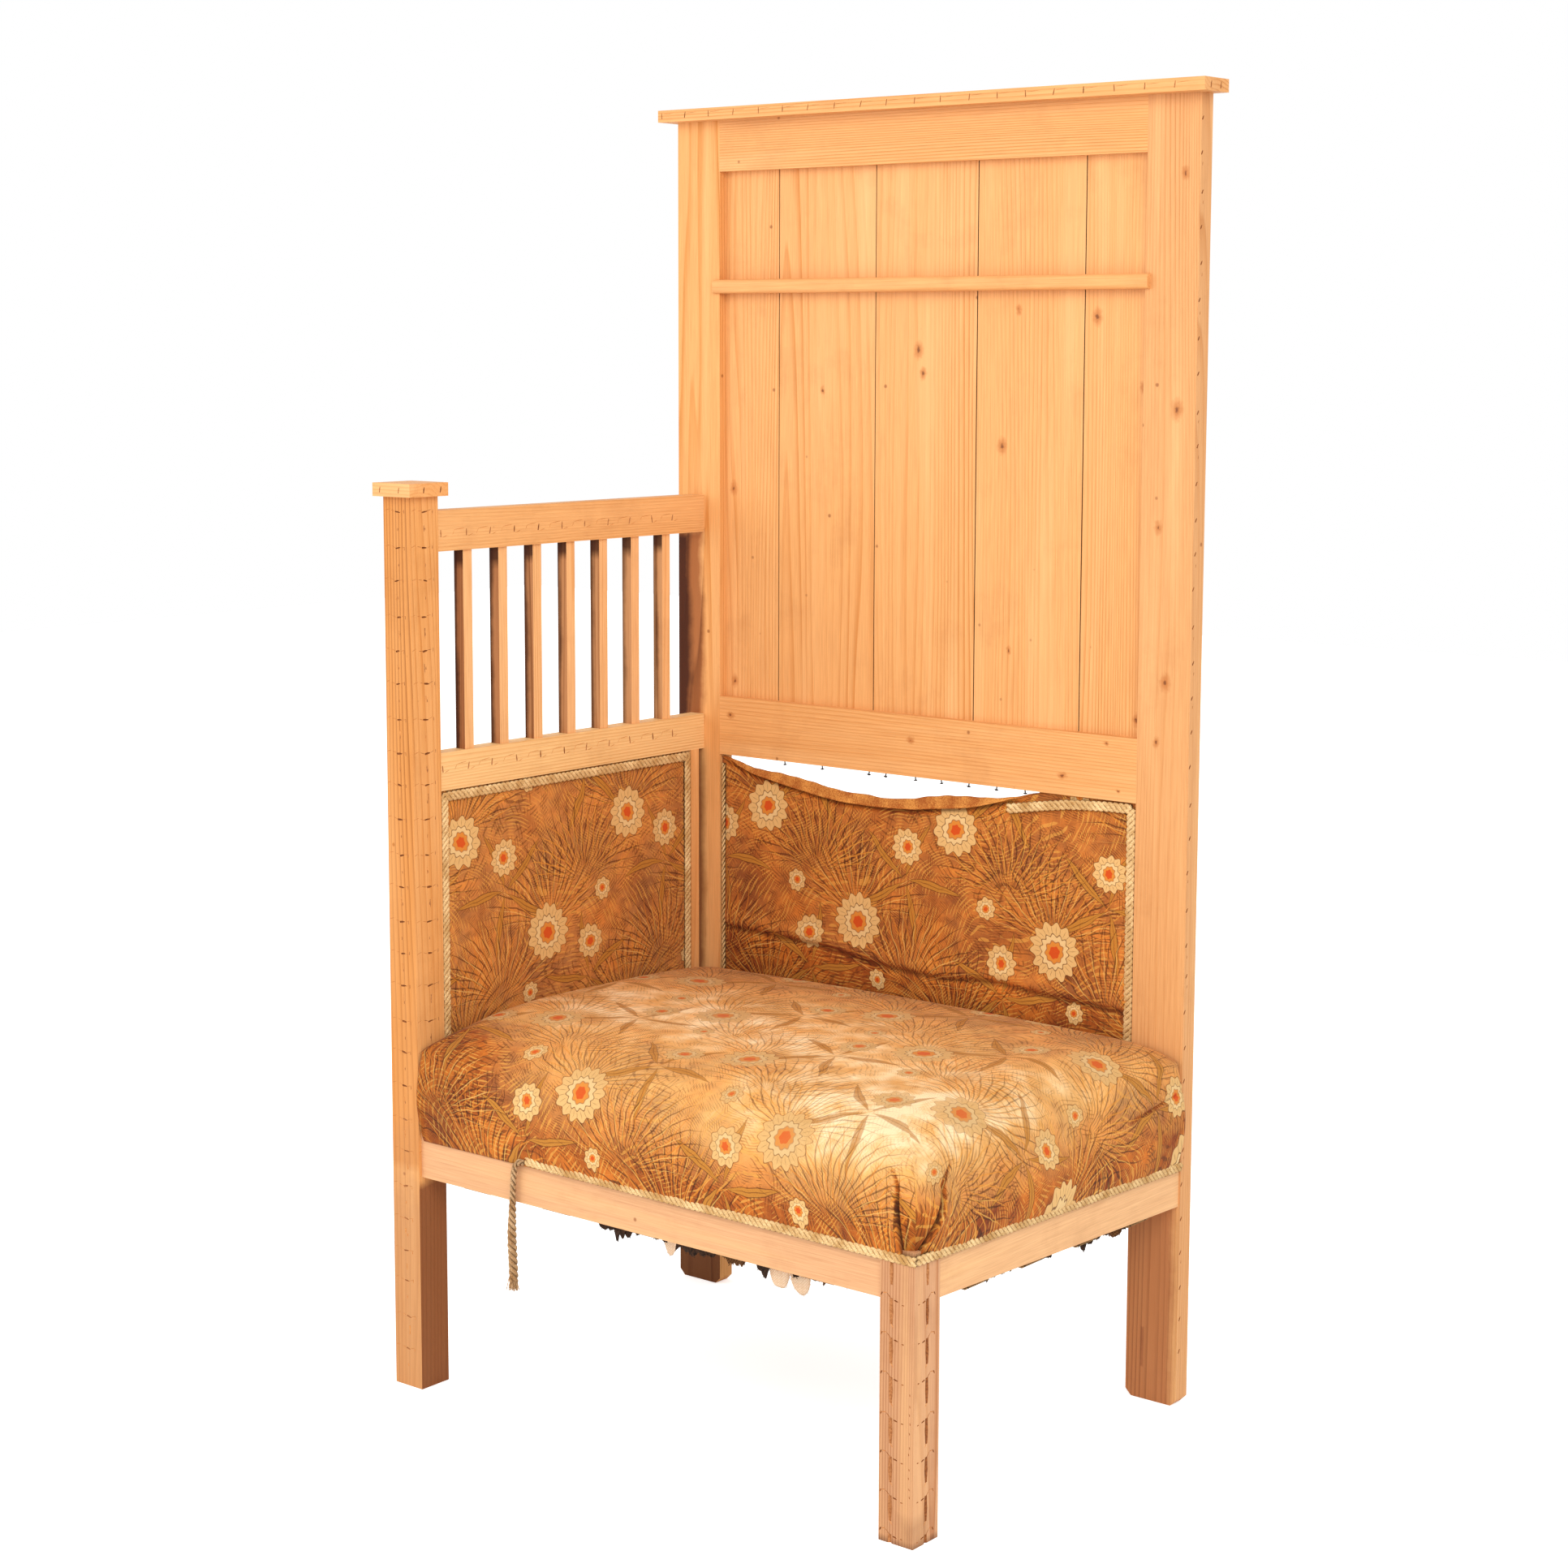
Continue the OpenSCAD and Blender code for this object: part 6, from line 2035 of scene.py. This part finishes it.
    def rags(self) -> None:
        """Hangs shreds of the old lining below the rails, with loose threads at their lower edges."""
        rng = np.random.default_rng(17)
        rags = [((x0, -570, 299), (x1, -570, 299), 299 - low, kind) for x0, x1, low, kind in self.front_rags]
        rags += [((861, y0, 298 - SIZE.drop(y0)), (861, y1, 298 - SIZE.drop(y1)), fall, kind)
                 for y0, y1, fall, kind in self.side_rags]
        parts, flats, kinds, threads = [], [], [], ([], [], [])
        for number, (begin, end, hang, kind) in enumerate(rags):
            grid, flat = self.rag(begin, end, hang, kind, number)
            faces = grid_faces(*grid.shape[:2])
            parts.append((grid.reshape(-1, 3), faces))
            flats.append(flat.reshape(-1, 2))
            kinds += [kind] * len(faces)
            for tip in grid[-1, 1:-1:2 if kind else 3]:
                steps = np.linspace(-2, rng.uniform(0.5, 2.5), 4)
                line = [tip + np.array((rng.normal(0, 0.7), rng.normal(0, 0.7), -s)) for s in steps]
                threads[kind].append(tube(np.array(line), 0.4, 0.4, FRONT, 4))
        points, faces = join(parts)
        made = add_mesh("lining_rags", points, faces, np.concatenate(flats)[np.array(faces).ravel()])
        thicken(made, 1.2, 0)
        dress(made, RAGS[0], "hessian", *RAGS[1:])
        made.data.polygons.foreach_set("material_index", np.array(kinds, np.int32))
        fringes = [dress(add_mesh(f"lining_fringe_{kind}", *join(threads[kind])), finish, "hessian")
                   for kind, finish in enumerate(RAGS)]
        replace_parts(made, "torn_lining")

    def build(self) -> None:
        """Makes the webbing, the hessian over the springs and the rags."""
        self.webbing()
        self.hessian()
        self.rags()
        dress(self.nodes["seat_springs"], SPRING, "springs")


@dataclass
class Fixings:
    """The nails through the boards and the tacks left in the middle rail; places in mm."""

    nodes: dict[str, bpy.types.Object]
    tacks: tuple[float, ...] = (203, 273, 359, 389, 441, 486, 534, 581, 628)
    outline: Line = ((0.0, 0.9), (-4.0, 0.9), (-4.3, 3.1), (-5.2, 2.4), (-5.9, 1.1))

    def tack(self, x: float, lean: float) -> Mesh:
        """One bent upholstery tack that hangs from the rail's lower front arris by its shank.

        Args:
            x: how far to the right it sits, in mm.
            lean: how far it is bent, from -1 to 1.

        Returns:
            Its points and faces.
        """
        line = np.array([(x + lean * -z * 0.25, 2.4, SIZE.mid_rail + z) for z, _ in self.outline])
        size = np.array([radius for _, radius in self.outline])
        return tube(line, size, size, FRONT, 12)

    def build(self) -> None:
        """Dresses nails and tacks."""
        dress(self.nodes["board_nails"], TACK, "fixings")
        rng = np.random.default_rng(23)
        made = add_mesh("tacks_bent", *join(self.tack(x, rng.uniform(-1, 1)) for x in self.tacks))
        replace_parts(dress(made, TACK, "fixings"), "back_tacks")


# The whole settle


def visible_box() -> list[list[float]]:
    """Measures all visible pieces of the settle.

    Returns:
        The lowest and the highest corner of the box round them, in metres.
    """
    deps = bpy.context.evaluated_depsgraph_get()
    corners = []
    for piece in bpy.context.scene.objects:
        if piece.type == "MESH" and not piece.hide_render and "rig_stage" not in piece:
            shown = piece.evaluated_get(deps)
            corners += [tuple(shown.matrix_world @ Vector(c)) for c in shown.bound_box]
    cloud = np.array(corners, float)
    return [cloud.min(0).tolist(), cloud.max(0).tolist()]


def main() -> None:
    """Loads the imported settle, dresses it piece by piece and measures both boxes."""
    logging.basicConfig(level=logging.INFO, format="%(name)s: %(message)s")
    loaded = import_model()
    nodes = loaded["nodes"]
    packed = [list(map(float, corner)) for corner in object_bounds()]
    Studio().build()
    LooseBraid().build()
    Timber(nodes).build()
    Carving(nodes).build()
    Braids().build()
    SeatCushion().build()
    BackPanel().build()
    ArmPanel().build()
    UnderSeat(nodes).build()
    Fixings(nodes).build()
    bpy.context.view_layer.update()
    {"cad": packed, "visual": visible_box()}


if __name__ == "__main__":
    main()
